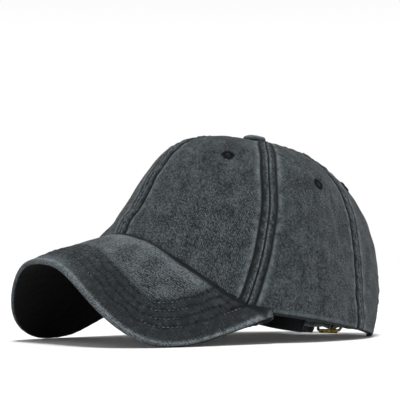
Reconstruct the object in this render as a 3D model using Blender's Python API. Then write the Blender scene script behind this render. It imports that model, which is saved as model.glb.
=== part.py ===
"""Washed cotton baseball cap with a ponytail slit, resting on a floor as it would by itself.

Metres, +Z up, the bill towards -Y, the wearer's left towards +X. Angles go round the crown from
the middle of the front (0) past the wearer's left (90 degrees) to the middle of the back (180).
Every piece is laid on one crown surface or one bill surface, so it follows their sizes.
"""

import math
from collections import namedtuple

import bmesh
import bpy
from mathutils import Matrix, Vector

# Crown: the hem's plan, the top, and the cloth
HEM_HALF_WIDTH = 0.0793
HEM_FRONT = 0.099
HEM_BACK = 0.104
HEM_FRONT_FULLNESS = 0.04
HEM_REST_SETBACK = 0.012
HEM_RISE_POWER = 0.9
CROWN_HEIGHT = 0.1343
CROWN_TOP_SETBACK = 0.0188
CROWN_SWAY = 0.0104
CROWN_TOP_SLOPE = math.radians(8.2)
PANEL_COUNT = 6
PANEL_FULLNESS = 0.0012
PANEL_CLOTH = 0.0016
SEAM_RIDGE_WIDTH = 0.0052
SEAM_RIDGE_FOOT = 0.0008
SEAM_RIDGE_RISE = 0.0007
SEAM_RIDGE_MOST = 0.30
SEAM_FOOT_MOST = 0.38
CLEARANCE = 0.0003

# The crown's upright section at four angles: how far it leans in at the hem, and how far its two
# handles reach, as shares of the crown's rise and of the hem's distance from the middle
Section = namedtuple("Section", "lean hem_handle top_handle")
SECTIONS = (
    Section(math.radians(15.0), 0.61, 0.92),
    Section(math.radians(-1.0), 0.61, 0.71),
    Section(math.radians(16.0), 0.565, 0.80),
    Section(math.radians(-6.5), 0.535, 0.565),
)

# Bill: bent into a deep arch, both side edges on the floor
BILL_CORNER_ANGLE = math.radians(71.0)
BILL_CORNER_HEIGHT = 0.0198
BILL_CREST_HEIGHT = 0.0699
BILL_REACH = 0.056
BILL_SLOPE = math.radians(17.8)
BILL_BEND_POWER = 2.18
BILL_FLARE = 0.001
BILL_SQUARENESS = 3.87
BILL_CLOTH = 0.0014
BILL_TUCK_FADE = math.radians(9.0)
BILL_BUTT_FADE = 0.006
BILL_CORNER_THINNING = 0.15

# Openings at the back: the half-moon arch over the strap, and the leaf-shaped ponytail slit
ARCH_HALF_WIDTH = 0.031
ARCH_HEIGHT = 0.052
ARCH_SQUARENESS = 2.4
SLIT_ABOVE_BINDING = 0.0018
SLIT_LENGTH = 0.086
SLIT_HALF_WIDTH = 0.0155
BINDING_WIDTH = 0.008
BINDING_RISE = 0.0006
BINDING_DEPTH = 0.0018

# The slit's outline, bottom to top: shares of its length and of its half width
SlitRow = namedtuple("SlitRow", "rise half_width")
SLIT_OUTLINE = (
    SlitRow(0.00, 0.06),
    SlitRow(0.12, 0.42),
    SlitRow(0.28, 0.80),
    SlitRow(0.50, 1.00),
    SlitRow(0.74, 0.95),
    SlitRow(0.92, 0.78),
    SlitRow(0.985, 0.48),
    SlitRow(1.00, 0.00),
)

# The folded binding's section: shares of its width, and of its rise (above 0) or depth (below 0)
BindingRow = namedtuple("BindingRow", "across out")
BINDING_SECTION = (
    BindingRow(0.00, -0.35),
    BindingRow(0.08, 0.60),
    BindingRow(0.50, 1.00),
    BindingRow(0.94, 0.70),
    BindingRow(1.00, -0.10),
    BindingRow(1.00, -0.90),
    BindingRow(0.50, -1.00),
    BindingRow(0.08, -0.90),
)

# Sweatband
SWEATBAND_HEIGHT = 0.028
SWEATBAND_CLOTH = 0.0012
SWEATBAND_GAP = 0.0008
SWEATBAND_SHOW = 0.0014

# Button and eyelets
BUTTON_RADIUS = 0.008
BUTTON_HEIGHT = 0.0055
BUTTON_SEAT = 0.0012
BUTTON_POST_RADIUS = 0.0019
BUTTON_POST_LENGTH = 0.0034
EYELET_RADIUS = 0.0041
EYELET_HOLE_RADIUS = 0.0015
EYELET_THICKNESS = 0.0024
EYELET_FROM_TOP = 0.0665
EYELETS = {"front": math.radians(36.5), "side": math.radians(91.0), "back": math.radians(137.0)}

# Strap, its brass buckle and the tab that holds the buckle
STRAP_WIDTH = 0.0185
STRAP_CLOTH = 0.0018
STRAP_END_LAP = 0.0058
STRAP_BEND = 0.006
STRAP_BEND_START = 0.0006
BUCKLE_WIRE_RADIUS = 0.001
BUCKLE_BAR_RADIUS = 0.0009
BUCKLE_BAR_SPACING = 0.0098
BUCKLE_FROM_MIDDLE = 0.0165
BUCKLE_CORNER_RADIUS = 0.0022
TAB_CLOTH = 0.0012
TAB_WIDTH = 0.0145
STRAP_TAIL = 0.0065

# Mesh steps
ARCH_STEPS = 7
SLIT_STEPS = 9
TOP_STEPS = 3
PANEL_STEPS = 6
BILL_STEPS_ROUND = 36
BILL_STEPS_OUT = 5
SWEATBAND_STEPS = 44
STRAP_STEPS = 46
TAB_FOLD_STEPS = 12
BUTTON_STEPS = 20
EYELET_STEPS = 14
EYELET_RIM_STEPS = 6
EYELET_HOLE_STEPS = 16
WIRE_STEPS = 8
WIDTH_STEPS = 8
LENGTH_STEPS = 240
EDGE_STEPS = 360
HALVINGS = 40
TOP_SHARE = 0.985
TINY = 1e-5

BACK = math.pi
PANEL_ANGLE = 2 * math.pi / PANEL_COUNT


def ease(share):
    """Smooth step from 0 to 1."""
    share = min(max(share, 0.0), 1.0)
    return share * share * (3 - 2 * share)


def section_value(column, angle):
    """A column of SECTIONS at any angle: the even cosine series through its rows."""
    last = len(SECTIONS) - 1
    total = 0.0
    for wave in range(last + 1):
        term = 0.0
        for index, row in enumerate(SECTIONS):
            end = 0.5 if index in (0, last) else 1.0
            term += end * getattr(row, column) * math.cos(wave * math.pi * index / last)
        end = 0.5 if wave in (0, last) else 1.0
        total += end * 2 / last * term * math.cos(wave * angle)
    return total


def hem_plan(angle):
    """The hem seen from above: an oval, longer behind than in front."""
    forward = math.cos(angle)
    reach = HEM_FRONT if forward > 0 else HEM_BACK
    x = HEM_HALF_WIDTH * math.sin(angle) * (1 + HEM_FRONT_FULLNESS * forward)
    return x, -reach * forward


def bill_height(x, y):
    """The bent bill's top surface over a point of the plan."""
    corner_x, corner_y = hem_plan(BILL_CORNER_ANGLE)
    slope = math.tan(BILL_SLOPE)
    fall = BILL_CREST_HEIGHT + slope * (corner_y + HEM_FRONT) - BILL_CORNER_HEIGHT
    return BILL_CREST_HEIGHT + slope * (y + HEM_FRONT) - fall * (abs(x) / corner_x) ** BILL_BEND_POWER


def hem_height(angle):
    """The hem runs behind the bill in front, falls from its corners to the back, and rests there."""
    x, y = hem_plan(angle)
    if math.cos(angle) > math.cos(BILL_CORNER_ANGLE):
        tuck = (2 * BILL_CLOTH + CLEARANCE) * ease((BILL_CORNER_ANGLE - abs(angle)) / BILL_TUCK_FADE)
        return bill_height(x, y) - tuck
    rest_y = HEM_BACK - HEM_REST_SETBACK
    corner_y = hem_plan(BILL_CORNER_ANGLE)[1]
    share = max(0.0, (rest_y - y) / (rest_y - corner_y))
    return BILL_CORNER_HEIGHT * share**HEM_RISE_POWER


def crown_base_point(angle, share):
    """The crown from hem (share 0) to top (share 1): a cubic curve in each upright section."""
    x, y = hem_plan(angle)
    hem = hem_height(angle)
    rise = CROWN_HEIGHT - hem
    reach = math.hypot(x, y)
    lean = section_value("lean", angle)
    hem_handle = section_value("hem_handle", angle) * rise
    top_handle = section_value("top_handle", angle)
    top_lift = top_handle * reach * math.tan(CROWN_TOP_SLOPE) * math.cos(angle)
    rest = 1 - share
    near = 3 * rest * rest * share
    far = 3 * rest * share * share
    out = rest**3 + near * (1 - hem_handle * math.sin(lean) / reach) + far * top_handle
    z = rest**3 * hem + near * (hem + hem_handle * math.cos(lean))
    z += far * (CROWN_HEIGHT + top_lift) + share**3 * CROWN_HEIGHT
    level = (z - hem) / rise
    back = CROWN_TOP_SETBACK * level + 4 * CROWN_SWAY * level * (1 - level)
    return Vector((x * out, y * out + back, z))


def crown_normal(angle, share):
    """Outward normal of the crown's surface."""
    step = 0.002
    low, high = max(share - step, 0.0), min(share + step, 1 - step)
    along = crown_base_point(angle + step, share) - crown_base_point(angle - step, share)
    up = crown_base_point(angle, high) - crown_base_point(angle, low)
    return along.cross(up).normalized()


def crown_point(angle, share, out=0.0):
    """A point at a distance out from the crown's outer face, which swells between the seams."""
    swell = PANEL_FULLNESS * abs(math.sin(PANEL_COUNT / 2 * angle)) * math.sin(math.pi * share)
    point = crown_base_point(angle, share) + crown_normal(angle, share) * (swell + out)
    if share == 0:
        point.z = hem_height(angle)
    point.z = max(point.z, 0.0)
    return point


def running_length(points):
    """Distance from the first point to each point."""
    lengths = [0.0]
    for before, after in zip(points, points[1:]):
        lengths.append(lengths[-1] + (after - before).length)
    return lengths


def look_up(value, sources, targets):
    """Piecewise straight interpolation in two rising lists."""
    for index in range(1, len(sources)):
        if value <= sources[index]:
            span = sources[index] - sources[index - 1]
            part = (value - sources[index - 1]) / span
            return targets[index - 1] + part * (targets[index] - targets[index - 1])
    return targets[-1]


def shares_by_length(angle):
    """The lengths from the hem up one section, and the share at each."""
    shares = [TOP_SHARE * index / LENGTH_STEPS for index in range(LENGTH_STEPS + 1)]
    return running_length([crown_point(angle, share) for share in shares]), shares


BACK_LENGTHS, BACK_SHARES = shares_by_length(BACK)


def back_point(side, up, out=0.0):
    """A point on the back: side towards the wearer's left, up from the hem, both along the cloth."""
    share = look_up(max(up, 0.0), BACK_LENGTHS, BACK_SHARES)
    return crown_point(back_angle(side, share), share, out)


def back_angle(side, share):
    """The angle that lies a distance to one side of the middle of the back."""
    step = 0.01
    width = (crown_base_point(BACK - step, share) - crown_base_point(BACK + step, share)).length
    return BACK - side * 2 * step / width


def arch_outline(turn, grow):
    """The arch's edge, from its foot (turn 0) to its top (turn 90 degrees), grown outwards."""
    power = 2 / ARCH_SQUARENESS
    side = (ARCH_HALF_WIDTH + grow) * max(math.cos(turn), 0.0) ** power
    return side, (ARCH_HEIGHT + grow) * math.sin(turn) ** power


def arch_up(side, grow):
    """Height of the grown arch at a distance from the middle."""
    share = min(abs(side) / (ARCH_HALF_WIDTH + grow), 1.0)
    return (ARCH_HEIGHT + grow) * (1 - share**ARCH_SQUARENESS) ** (1 / ARCH_SQUARENESS)


def slit_bottom():
    """The slit starts just above the arch's binding."""
    return ARCH_HEIGHT + BINDING_WIDTH + CLEARANCE + SLIT_ABOVE_BINDING


def slit_edge(run):
    """The slit's edge: a smooth curve through SLIT_OUTLINE, run 0 at the bottom and 1 at the top."""
    bottom = slit_bottom()
    rows = [(row.half_width * SLIT_HALF_WIDTH, bottom + row.rise * SLIT_LENGTH) for row in SLIT_OUTLINE]
    before = (2 * rows[0][0] - rows[1][0], 2 * rows[0][1] - rows[1][1])
    after = (-rows[-2][0], rows[-2][1])
    knots = [Vector(pair) for pair in [before, *rows, after]]
    place = min(max(run, 0.0), 1.0) * (len(rows) - 1)
    index = min(int(place), len(rows) - 2)
    part = place - index
    a, b, c, d = knots[index : index + 4]
    square = 2 * a - 5 * b + 4 * c - d
    cube = 3 * b - a - 3 * c + d
    return 0.5 * (2 * b + (c - a) * part + square * part**2 + cube * part**3)


def slit_outline(run, grow):
    """The slit's edge grown outwards in the cloth."""
    step = 0.01
    along = slit_edge(run + step) - slit_edge(run - step)
    away = Vector((along.y, -along.x)).normalized()
    if run >= 1:
        away = Vector((0.0, 1.0))
    point = slit_edge(run) + away * grow
    return point.x, point.y


def bindings_meeting():
    """Where the slit's side meets the arch's on a back panel: the slit's run and the arch's turn."""
    grow = BINDING_WIDTH + CLEARANCE
    low, high = 0.0, 0.5
    for _ in range(HALVINGS):
        run = (low + high) / 2
        side, up = slit_outline(run, grow)
        if up < arch_up(side, grow):
            low = run
        else:
            high = run
    turn_low, turn_high = 0.0, math.pi / 2
    for _ in range(HALVINGS):
        turn = (turn_low + turn_high) / 2
        if arch_outline(turn, grow)[0] > side:
            turn_low = turn
        else:
            turn_high = turn
    return run, turn


MEETING_RUN, MEETING_TURN = bindings_meeting()


def arch_turns():
    """Turns of the arch that a back panel reaches."""
    return [MEETING_TURN * index / ARCH_STEPS for index in range(ARCH_STEPS + 1)]


def slit_runs():
    """Runs of the slit that a back panel reaches, above where the two bindings meet."""
    return [MEETING_RUN + (1 - MEETING_RUN) * index / SLIT_STEPS for index in range(1, SLIT_STEPS + 1)]


def panel_rows():
    """Rows of every panel: a share up the crown, and a back panel's distance from the middle."""
    grow = BINDING_WIDTH + CLEARANCE
    rows = []
    for turn in arch_turns():
        side, up = arch_outline(turn, grow)
        rows.append((look_up(up, BACK_LENGTHS, BACK_SHARES), side, False))
    for run in slit_runs():
        side, up = slit_outline(run, grow)
        rows.append((look_up(up, BACK_LENGTHS, BACK_SHARES), side, False))
    start = rows[-1][0]
    rows[-1] = (start, CLEARANCE / 2, True)
    for index in range(1, TOP_STEPS + 1):
        share = start + (TOP_SHARE - start) * index / TOP_STEPS
        rows.append((share, CLEARANCE / 2, True))
    return rows


def material(name, colour, roughness, metallic=0.0):
    """A Principled material."""
    made = bpy.data.materials.new(name)
    made.use_nodes = True
    shader = made.node_tree.nodes["Principled BSDF"]
    shader.inputs["Base Color"].default_value = (*colour, 1.0)
    shader.inputs["Roughness"].default_value = roughness
    shader.inputs["Metallic"].default_value = metallic
    return made


def add_object(name, bm, finish):
    """Makes an object of a closed mesh, its faces turned outwards."""
    bmesh.ops.remove_doubles(bm, verts=bm.verts, dist=TINY / 2)
    bmesh.ops.recalc_face_normals(bm, faces=bm.faces)
    mesh = bpy.data.meshes.new(name)
    bm.to_mesh(mesh)
    bm.free()
    mesh.materials.append(finish)
    mesh.shade_smooth()
    mesh.set_sharp_from_angle(angle=math.radians(40))
    made = bpy.data.objects.new(name, mesh)
    bpy.context.scene.collection.objects.link(made)
    return made


def add_quad(bm, a, b, c, d):
    """Two triangles with the diagonal from a to c, so that stacked layers stay parallel."""
    bm.faces.new((a, b, c))
    bm.faces.new((a, c, d))


def sheet_object(name, outer, inner, finish):
    """A sheet of cloth from the grids of points on its two faces."""
    bm = bmesh.new()
    front = [[bm.verts.new(point) for point in row] for row in outer]
    back = [[bm.verts.new(point) for point in row] for row in inner]
    rows, columns = len(outer), len(outer[0])
    for r in range(rows - 1):
        for c in range(columns - 1):
            add_quad(bm, front[r][c], front[r][c + 1], front[r + 1][c + 1], front[r + 1][c])
            add_quad(bm, back[r][c], back[r][c + 1], back[r + 1][c + 1], back[r + 1][c])
    rim = [(0, c) for c in range(columns)] + [(r, columns - 1) for r in range(1, rows)]
    rim += [(rows - 1, c) for c in range(columns - 2, -1, -1)] + [(r, 0) for r in range(rows - 2, 0, -1)]
    for (r, c), (s, d) in zip(rim, rim[1:] + rim[:1]):
        add_quad(bm, front[r][c], front[s][d], back[s][d], back[r][c])
    return add_object(name, bm, finish)


def tube_object(name, rings, finish, closed):
    """A solid through rings of points: a closed loop of them, or a run with capped ends."""
    bm = bmesh.new()
    loops = [[bm.verts.new(point) for point in ring] for ring in rings]
    pairs = list(zip(loops, loops[1:]))
    if closed:
        pairs.append((loops[-1], loops[0]))
    else:
        bm.faces.new(loops[0])
        bm.faces.new(loops[-1])
    for first, second in pairs:
        for index in range(len(first)):
            after = (index + 1) % len(first)
            add_quad(bm, first[index], first[after], second[after], second[index])
    bmesh.ops.triangulate(bm, faces=[face for face in bm.faces if len(face.verts) > 4])
    return add_object(name, bm, finish)


def turned_object(name, profile, steps, finish):
    """A solid turned about Z: profile pairs (radius, height) that start and end on the axis, or a ring."""
    bm = bmesh.new()
    verts = [bm.verts.new((radius, 0.0, height)) for radius, height in profile]
    on_axis = profile[0][0] == 0
    edges = [bm.edges.new(pair) for pair in zip(verts, verts[1:])]
    if not on_axis:
        edges.append(bm.edges.new((verts[-1], verts[0])))
    turned = {"cent": (0, 0, 0), "axis": (0, 0, 1), "angle": 2 * math.pi, "steps": steps, "use_merge": True}
    bmesh.ops.spin(bm, geom=verts + edges, **turned)
    return add_object(name, bm, finish)


def along_normal(point, normal):
    """A placing matrix with +Z along a normal."""
    return Matrix.Translation(point) @ normal.to_track_quat("Z", "Y").to_matrix().to_4x4()


def panel_columns(start, end, share, last_side):
    """Angles across a panel at one row, and whether a seam's ridge raises each."""
    shares = [index / WIDTH_STEPS for index in range(WIDTH_STEPS + 1)]
    width = running_length([crown_base_point(start + (end - start) * part, share) for part in shares])[-1]
    edge = CLEARANCE / 2 / width
    ridge = min(SEAM_RIDGE_WIDTH / width, SEAM_RIDGE_MOST)
    foot = min((SEAM_RIDGE_WIDTH + SEAM_RIDGE_FOOT) / width, SEAM_FOOT_MOST)
    parts = [(edge, 1.0), (ridge, 1.0)]
    for index in range(PANEL_STEPS + 1):
        parts.append((foot + (1 - 2 * foot) * index / PANEL_STEPS, 0.0))
    parts += [(1 - ridge, last_side), (1 - edge, last_side)]
    return [(start + (end - start) * part, raised) for part, raised in parts]


def panel_object(name, index, left, finish):
    """A crown panel: index 0 in front, 1 at the side and 2 at the back, where the openings cut it."""
    outer, inner = [], []
    start = index * PANEL_ANGLE
    for share, side, seam in panel_rows():
        end = start + PANEL_ANGLE
        if index == 2 and not seam:
            end = back_angle(side, share)
        columns = panel_columns(start, end, share, 0.0 if index == 2 and not seam else 1.0)
        sign = 1 if left else -1
        ridge = 0.0 if share == 0 else SEAM_RIDGE_RISE
        outer.append([crown_point(sign * angle, share, raised * ridge) for angle, raised in columns])
        inner.append([crown_point(sign * angle, share, -PANEL_CLOTH) for angle, raised in columns])
    return sheet_object(name, outer, inner, finish)


def eyelet_place(angle):
    """An eyelet's matrix, a set length of cloth down from the crown's top."""
    lengths, shares = shares_by_length(angle)
    share = look_up(lengths[-1] - EYELET_FROM_TOP, lengths, shares)
    return along_normal(crown_point(angle, share), crown_normal(angle, share))


def cut_eyelet_hole(panel, place):
    """A round hole through a panel for its eyelet."""
    bm = bmesh.new()
    radius = EYELET_RADIUS + CLEARANCE
    depth = 6 * PANEL_CLOTH
    sizes = {"radius1": radius, "radius2": radius, "depth": depth}
    bmesh.ops.create_cone(bm, cap_ends=True, segments=EYELET_HOLE_STEPS, **sizes)
    mesh = bpy.data.meshes.new(panel.name + "_cutter")
    bm.to_mesh(mesh)
    bm.free()
    cutter = bpy.data.objects.new(mesh.name, mesh)
    bpy.context.scene.collection.objects.link(cutter)
    cutter.matrix_world = place
    cutter.hide_render = True
    cutter.display_type = "WIRE"
    hole = panel.modifiers.new("eyelet hole", "BOOLEAN")
    hole.operation = "DIFFERENCE"
    hole.object = cutter


def eyelet_object(name, place, finish):
    """An embroidered eyelet: a rounded ring, proud of the cloth on both sides."""
    half = EYELET_THICKNESS / 2
    middle = (EYELET_RADIUS + EYELET_HOLE_RADIUS) / 2
    reach = (EYELET_RADIUS - EYELET_HOLE_RADIUS) / 2
    turns = [2 * math.pi * step / EYELET_RIM_STEPS for step in range(EYELET_RIM_STEPS)]
    profile = [(middle - reach * math.cos(turn), half * math.sin(turn)) for turn in turns]
    ring = turned_object(name, profile, EYELET_STEPS, finish)
    ring.matrix_world = place @ Matrix.Translation((0, 0, -PANEL_CLOTH / 2))
    return ring


def button_object(finish):
    """The cloth-covered button, with the post that holds it through the top of the crown."""
    low = BUTTON_SEAT
    high = low + BUTTON_HEIGHT
    profile = [(0.0, low - BUTTON_POST_LENGTH), (BUTTON_POST_RADIUS, low - BUTTON_POST_LENGTH)]
    profile += [(BUTTON_POST_RADIUS, low), (0.86 * BUTTON_RADIUS, low)]
    for step in range(6):
        turn = math.radians(-30 + 22 * step)
        radius = BUTTON_RADIUS * (0.62 + 0.38 * math.cos(turn))
        profile.append((radius, low + BUTTON_HEIGHT * (0.42 + 0.53 * math.sin(turn))))
    profile += [(0.45 * BUTTON_RADIUS, high - 0.01 * BUTTON_HEIGHT), (0.0, high)]
    button = turned_object("crown_button", profile, BUTTON_STEPS, finish)
    top = Vector((0.0, CROWN_TOP_SETBACK, CROWN_HEIGHT))
    up = Vector((0.0, math.sin(CROWN_TOP_SLOPE), math.cos(CROWN_TOP_SLOPE)))
    button.matrix_world = along_normal(top, up)
    return button


def bill_outline():
    """Half of the bill's outer edge in plan, from the middle of the front to the corner."""
    corner_x, corner_y = hem_plan(BILL_CORNER_ANGLE)
    power = 2 / BILL_SQUARENESS
    points = []
    for step in range(EDGE_STEPS + 1):
        turn = math.pi / 2 * (step / EDGE_STEPS) ** 2
        x = (corner_x + BILL_FLARE) * math.sin(turn) ** power
        y = corner_y - (HEM_FRONT + BILL_REACH + corner_y) * max(math.cos(turn), 0.0) ** power
        points.append(Vector((x, y)))
    return points


BILL_EDGE = bill_outline()
BILL_EDGE_LENGTHS = running_length(BILL_EDGE)


def bill_edge_point(across):
    """A point of the bill's outer edge in plan, across from -1 to 1 by length along the edge."""
    length = abs(across) * BILL_EDGE_LENGTHS[-1]
    x = look_up(length, BILL_EDGE_LENGTHS, [point.x for point in BILL_EDGE])
    y = look_up(length, BILL_EDGE_LENGTHS, [point.y for point in BILL_EDGE])
    return Vector((math.copysign(x, across), y))


def bill_point(across, away, depth):
    """A point of the bill: away 0 at the crown and 1 at its edge, at a depth under its top face.

    The depth is square to the bill's face, but straight down at the crown, where the bill butts,
    and it thins towards the corners.
    """
    inner = crown_point(across * BILL_CORNER_ANGLE, 0.0, CLEARANCE).to_2d()
    plan = inner.lerp(bill_edge_point(across), away)
    step = 0.0005
    x, y = plan
    slope_x = (bill_height(x + step, y) - bill_height(x - step, y)) / (2 * step)
    slope_y = (bill_height(x, y + step) - bill_height(x, y - step)) / (2 * step)
    slope = Vector((slope_x, slope_y)) * ease((1 - abs(across)) / BILL_CORNER_THINNING)
    stretch = math.hypot(1.0, slope.length)
    shift = slope * depth / stretch * min(1.0, (plan - inner).length / BILL_BUTT_FADE)
    z = bill_height(x, y) - depth * stretch + slope.dot(shift)
    return Vector((x + shift.x, y + shift.y, max(z, 0.0)))


def bill_object(name, depth, finish):
    """One layer of the bill, its upper face at a depth under the bill's top."""
    acrosses = [-1 + 2 * step / BILL_STEPS_ROUND for step in range(BILL_STEPS_ROUND + 1)]
    aways = [step / BILL_STEPS_OUT for step in range(BILL_STEPS_OUT + 1)]
    upper = [[bill_point(across, away, depth) for across in acrosses] for away in aways]
    lower = [[bill_point(across, away, depth + BILL_CLOTH) for across in acrosses] for away in aways]
    return sheet_object(name, upper, lower, finish)


def binding_ring(inner, outer):
    """The binding's section between two points of the back, each given as (side, up)."""
    ring = []
    for row in BINDING_SECTION:
        side = inner[0] + (outer[0] - inner[0]) * row.across
        up = inner[1] + (outer[1] - inner[1]) * row.across
        out = row.out * (BINDING_RISE if row.out > 0 else BINDING_DEPTH)
        ring.append(back_point(side, up, out))
    return ring


def arch_binding_object(finish):
    """The folded binding over the arch, from hem to hem."""
    turns = arch_turns()
    rest = [MEETING_TURN + (math.pi / 2 - MEETING_TURN) * step / 2 for step in (1, 2)]
    left = [(arch_outline(turn, 0.0), arch_outline(turn, BINDING_WIDTH)) for turn in turns + rest]
    right = [((-a[0], a[1]), (-b[0], b[1])) for a, b in reversed(left[:-1])]
    return tube_object("arch_binding", [binding_ring(*pair) for pair in left + right], finish, False)


def slit_binding_object(finish):
    """The folded binding round the slit, cut straight where it stands on the arch's binding."""
    floor = ARCH_HEIGHT + BINDING_WIDTH + CLEARANCE
    left = []
    for run in [0.0, MEETING_RUN / 2, MEETING_RUN, *slit_runs()]:
        side, up = slit_outline(run, BINDING_WIDTH)
        left.append((slit_outline(run, 0.0), (side, max(up, floor))))
    right = [((-a[0], a[1]), (-b[0], b[1])) for a, b in reversed(left[:-1])]
    return tube_object("ponytail_slit_binding", [binding_ring(*pair) for pair in left + right], finish, True)


def sweatband_object(finish):
    """The band inside the hem, from one side of the arch round the front to the other."""
    lap = (ARCH_HALF_WIDTH + BINDING_WIDTH + 4 * CLEARANCE) / HEM_HALF_WIDTH
    end = BACK - lap
    angles = [-end + 2 * end * step / SWEATBAND_STEPS for step in range(SWEATBAND_STEPS + 1)]
    outer_depth = PANEL_CLOTH + SWEATBAND_GAP
    faces = []
    for depth in (outer_depth, outer_depth + SWEATBAND_CLOTH):
        rows = []
        for level in (0.0, 0.5, 1.0):
            row = []
            for angle in angles:
                rise = CROWN_HEIGHT - hem_height(angle)
                share = level * SWEATBAND_HEIGHT / (3 * section_value("hem_handle", angle) * rise)
                point = crown_point(angle, share, -depth)
                if level == 0:
                    point.z = max(point.z - sweatband_drop(angle), 0.0)
                row.append(point)
            rows.append(row)
        faces.append(rows)
    return sheet_object("sweatband", faces[0], faces[1], finish)


def sweatband_drop(angle):
    """How far the sweatband reaches below the hem: nothing where the hem rests."""
    return SWEATBAND_SHOW * min(hem_height(angle) / BILL_CORNER_HEIGHT, 1.0)


def buckle_sizes():
    """The buckle's three bars' sides, its lowest and highest wire centres, and its depth."""
    bars = [-BUCKLE_FROM_MIDDLE + BUCKLE_BAR_SPACING * step for step in (1, 0, -1)]
    low = BUCKLE_WIRE_RADIUS
    high = low + STRAP_WIDTH + 2 * (BUCKLE_WIRE_RADIUS + 2 * CLEARANCE)
    depth = BINDING_DEPTH + CLEARANCE + TAB_CLOTH - 0.5 * BUCKLE_WIRE_RADIUS
    return bars, low, high, depth


def strap_levels():
    """Where the strap lies up the back, between the buckle's rails."""
    low = 2 * BUCKLE_WIRE_RADIUS + 2 * CLEARANCE
    return low, low + STRAP_WIDTH


def strap_depth(side):
    """Depth of the strap's middle below the cap's face: under the binding, behind the first bar,
    over the middle bar and down behind the last bar and the tab."""
    bars, _, _, bar_depth = buckle_sizes()
    half = STRAP_CLOTH / 2
    sewn = BINDING_DEPTH + CLEARANCE + half
    behind = bar_depth + BUCKLE_WIRE_RADIUS + CLEARANCE + half
    over = bar_depth - BUCKLE_WIRE_RADIUS - CLEARANCE - half
    tail = bar_depth + BUCKLE_WIRE_RADIUS + CLEARANCE + TAB_CLOTH + CLEARANCE + half
    wire = BUCKLE_WIRE_RADIUS
    if side > bars[0]:
        return behind + (sewn - behind) * ease((side - bars[0] - 2 * wire) / STRAP_BEND)
    if side > bars[1]:
        return over + (behind - over) * ease((side - bars[1] - wire) / (BUCKLE_BAR_SPACING - 2 * wire))
    bend = BUCKLE_BAR_SPACING - 4.4 * wire
    return over + (tail - over) * ease((bars[1] - side - STRAP_BEND_START) / bend)


def strap_object(finish):
    """The strap, from under the arch's left binding, through the buckle to its tucked tail."""
    bars = buckle_sizes()[0]
    start = ARCH_HALF_WIDTH + STRAP_END_LAP
    end = bars[2] - STRAP_TAIL
    sides = [start + (end - start) * step / STRAP_STEPS for step in range(STRAP_STEPS + 1)]
    low, high = strap_levels()
    half = STRAP_CLOTH / 2
    faces = []
    for way in (1, -1):
        rows = []
        for up in (low, (low + high) / 2, high):
            row = []
            for side in sides:
                deeper = strap_depth(side + TINY) - strap_depth(side - TINY)
                turn = math.atan2(deeper, 2 * TINY)
                shift = way * half * math.sin(turn)
                row.append(back_point(side + shift, up, -strap_depth(side) + way * half * math.cos(turn)))
            rows.append(row)
        faces.append(rows)
    return sheet_object("strap", faces[0], faces[1], finish)


def buckle_object(finish):
    """A bent wire frame with a middle bar, following the back's curve."""
    bars, low, high, depth = buckle_sizes()
    corner = BUCKLE_CORNER_RADIUS
    path = []
    centres = ((bars[0] - corner, high - corner), (bars[2] + corner, high - corner))
    centres += ((bars[2] + corner, low + corner), (bars[0] - corner, low + corner))
    for quarter, (side, up) in enumerate(centres):
        for step in range(4):
            turn = math.pi / 2 * (quarter + step / 3)
            path.append((side + corner * math.cos(turn), up + corner * math.sin(turn), turn))
    rings = []
    for side, up, turn in path:
        ring = []
        for step in range(WIRE_STEPS):
            spin = 2 * math.pi * (step + 0.5) / WIRE_STEPS
            away = BUCKLE_WIRE_RADIUS * math.cos(spin)
            out = BUCKLE_WIRE_RADIUS * math.sin(spin)
            ring.append(back_point(side + away * math.cos(turn), up + away * math.sin(turn), out - depth))
        rings.append(ring)
    frame = tube_object("buckle", rings, finish, True)
    bar_rings = []
    for up in (low, (low + high) / 2, high):
        ring = []
        for step in range(WIRE_STEPS):
            spin = 2 * math.pi * step / WIRE_STEPS
            side = bars[1] + BUCKLE_BAR_RADIUS * math.cos(spin)
            ring.append(back_point(side, up, BUCKLE_BAR_RADIUS * math.sin(spin) - depth))
        bar_rings.append(ring)
    bar = tube_object("buckle_bar_tool", bar_rings, finish, False)
    bar.hide_render = True
    bar.display_type = "WIRE"
    join = frame.modifiers.new("middle bar", "BOOLEAN")
    join.operation = "UNION"
    join.object = bar
    return frame


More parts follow.
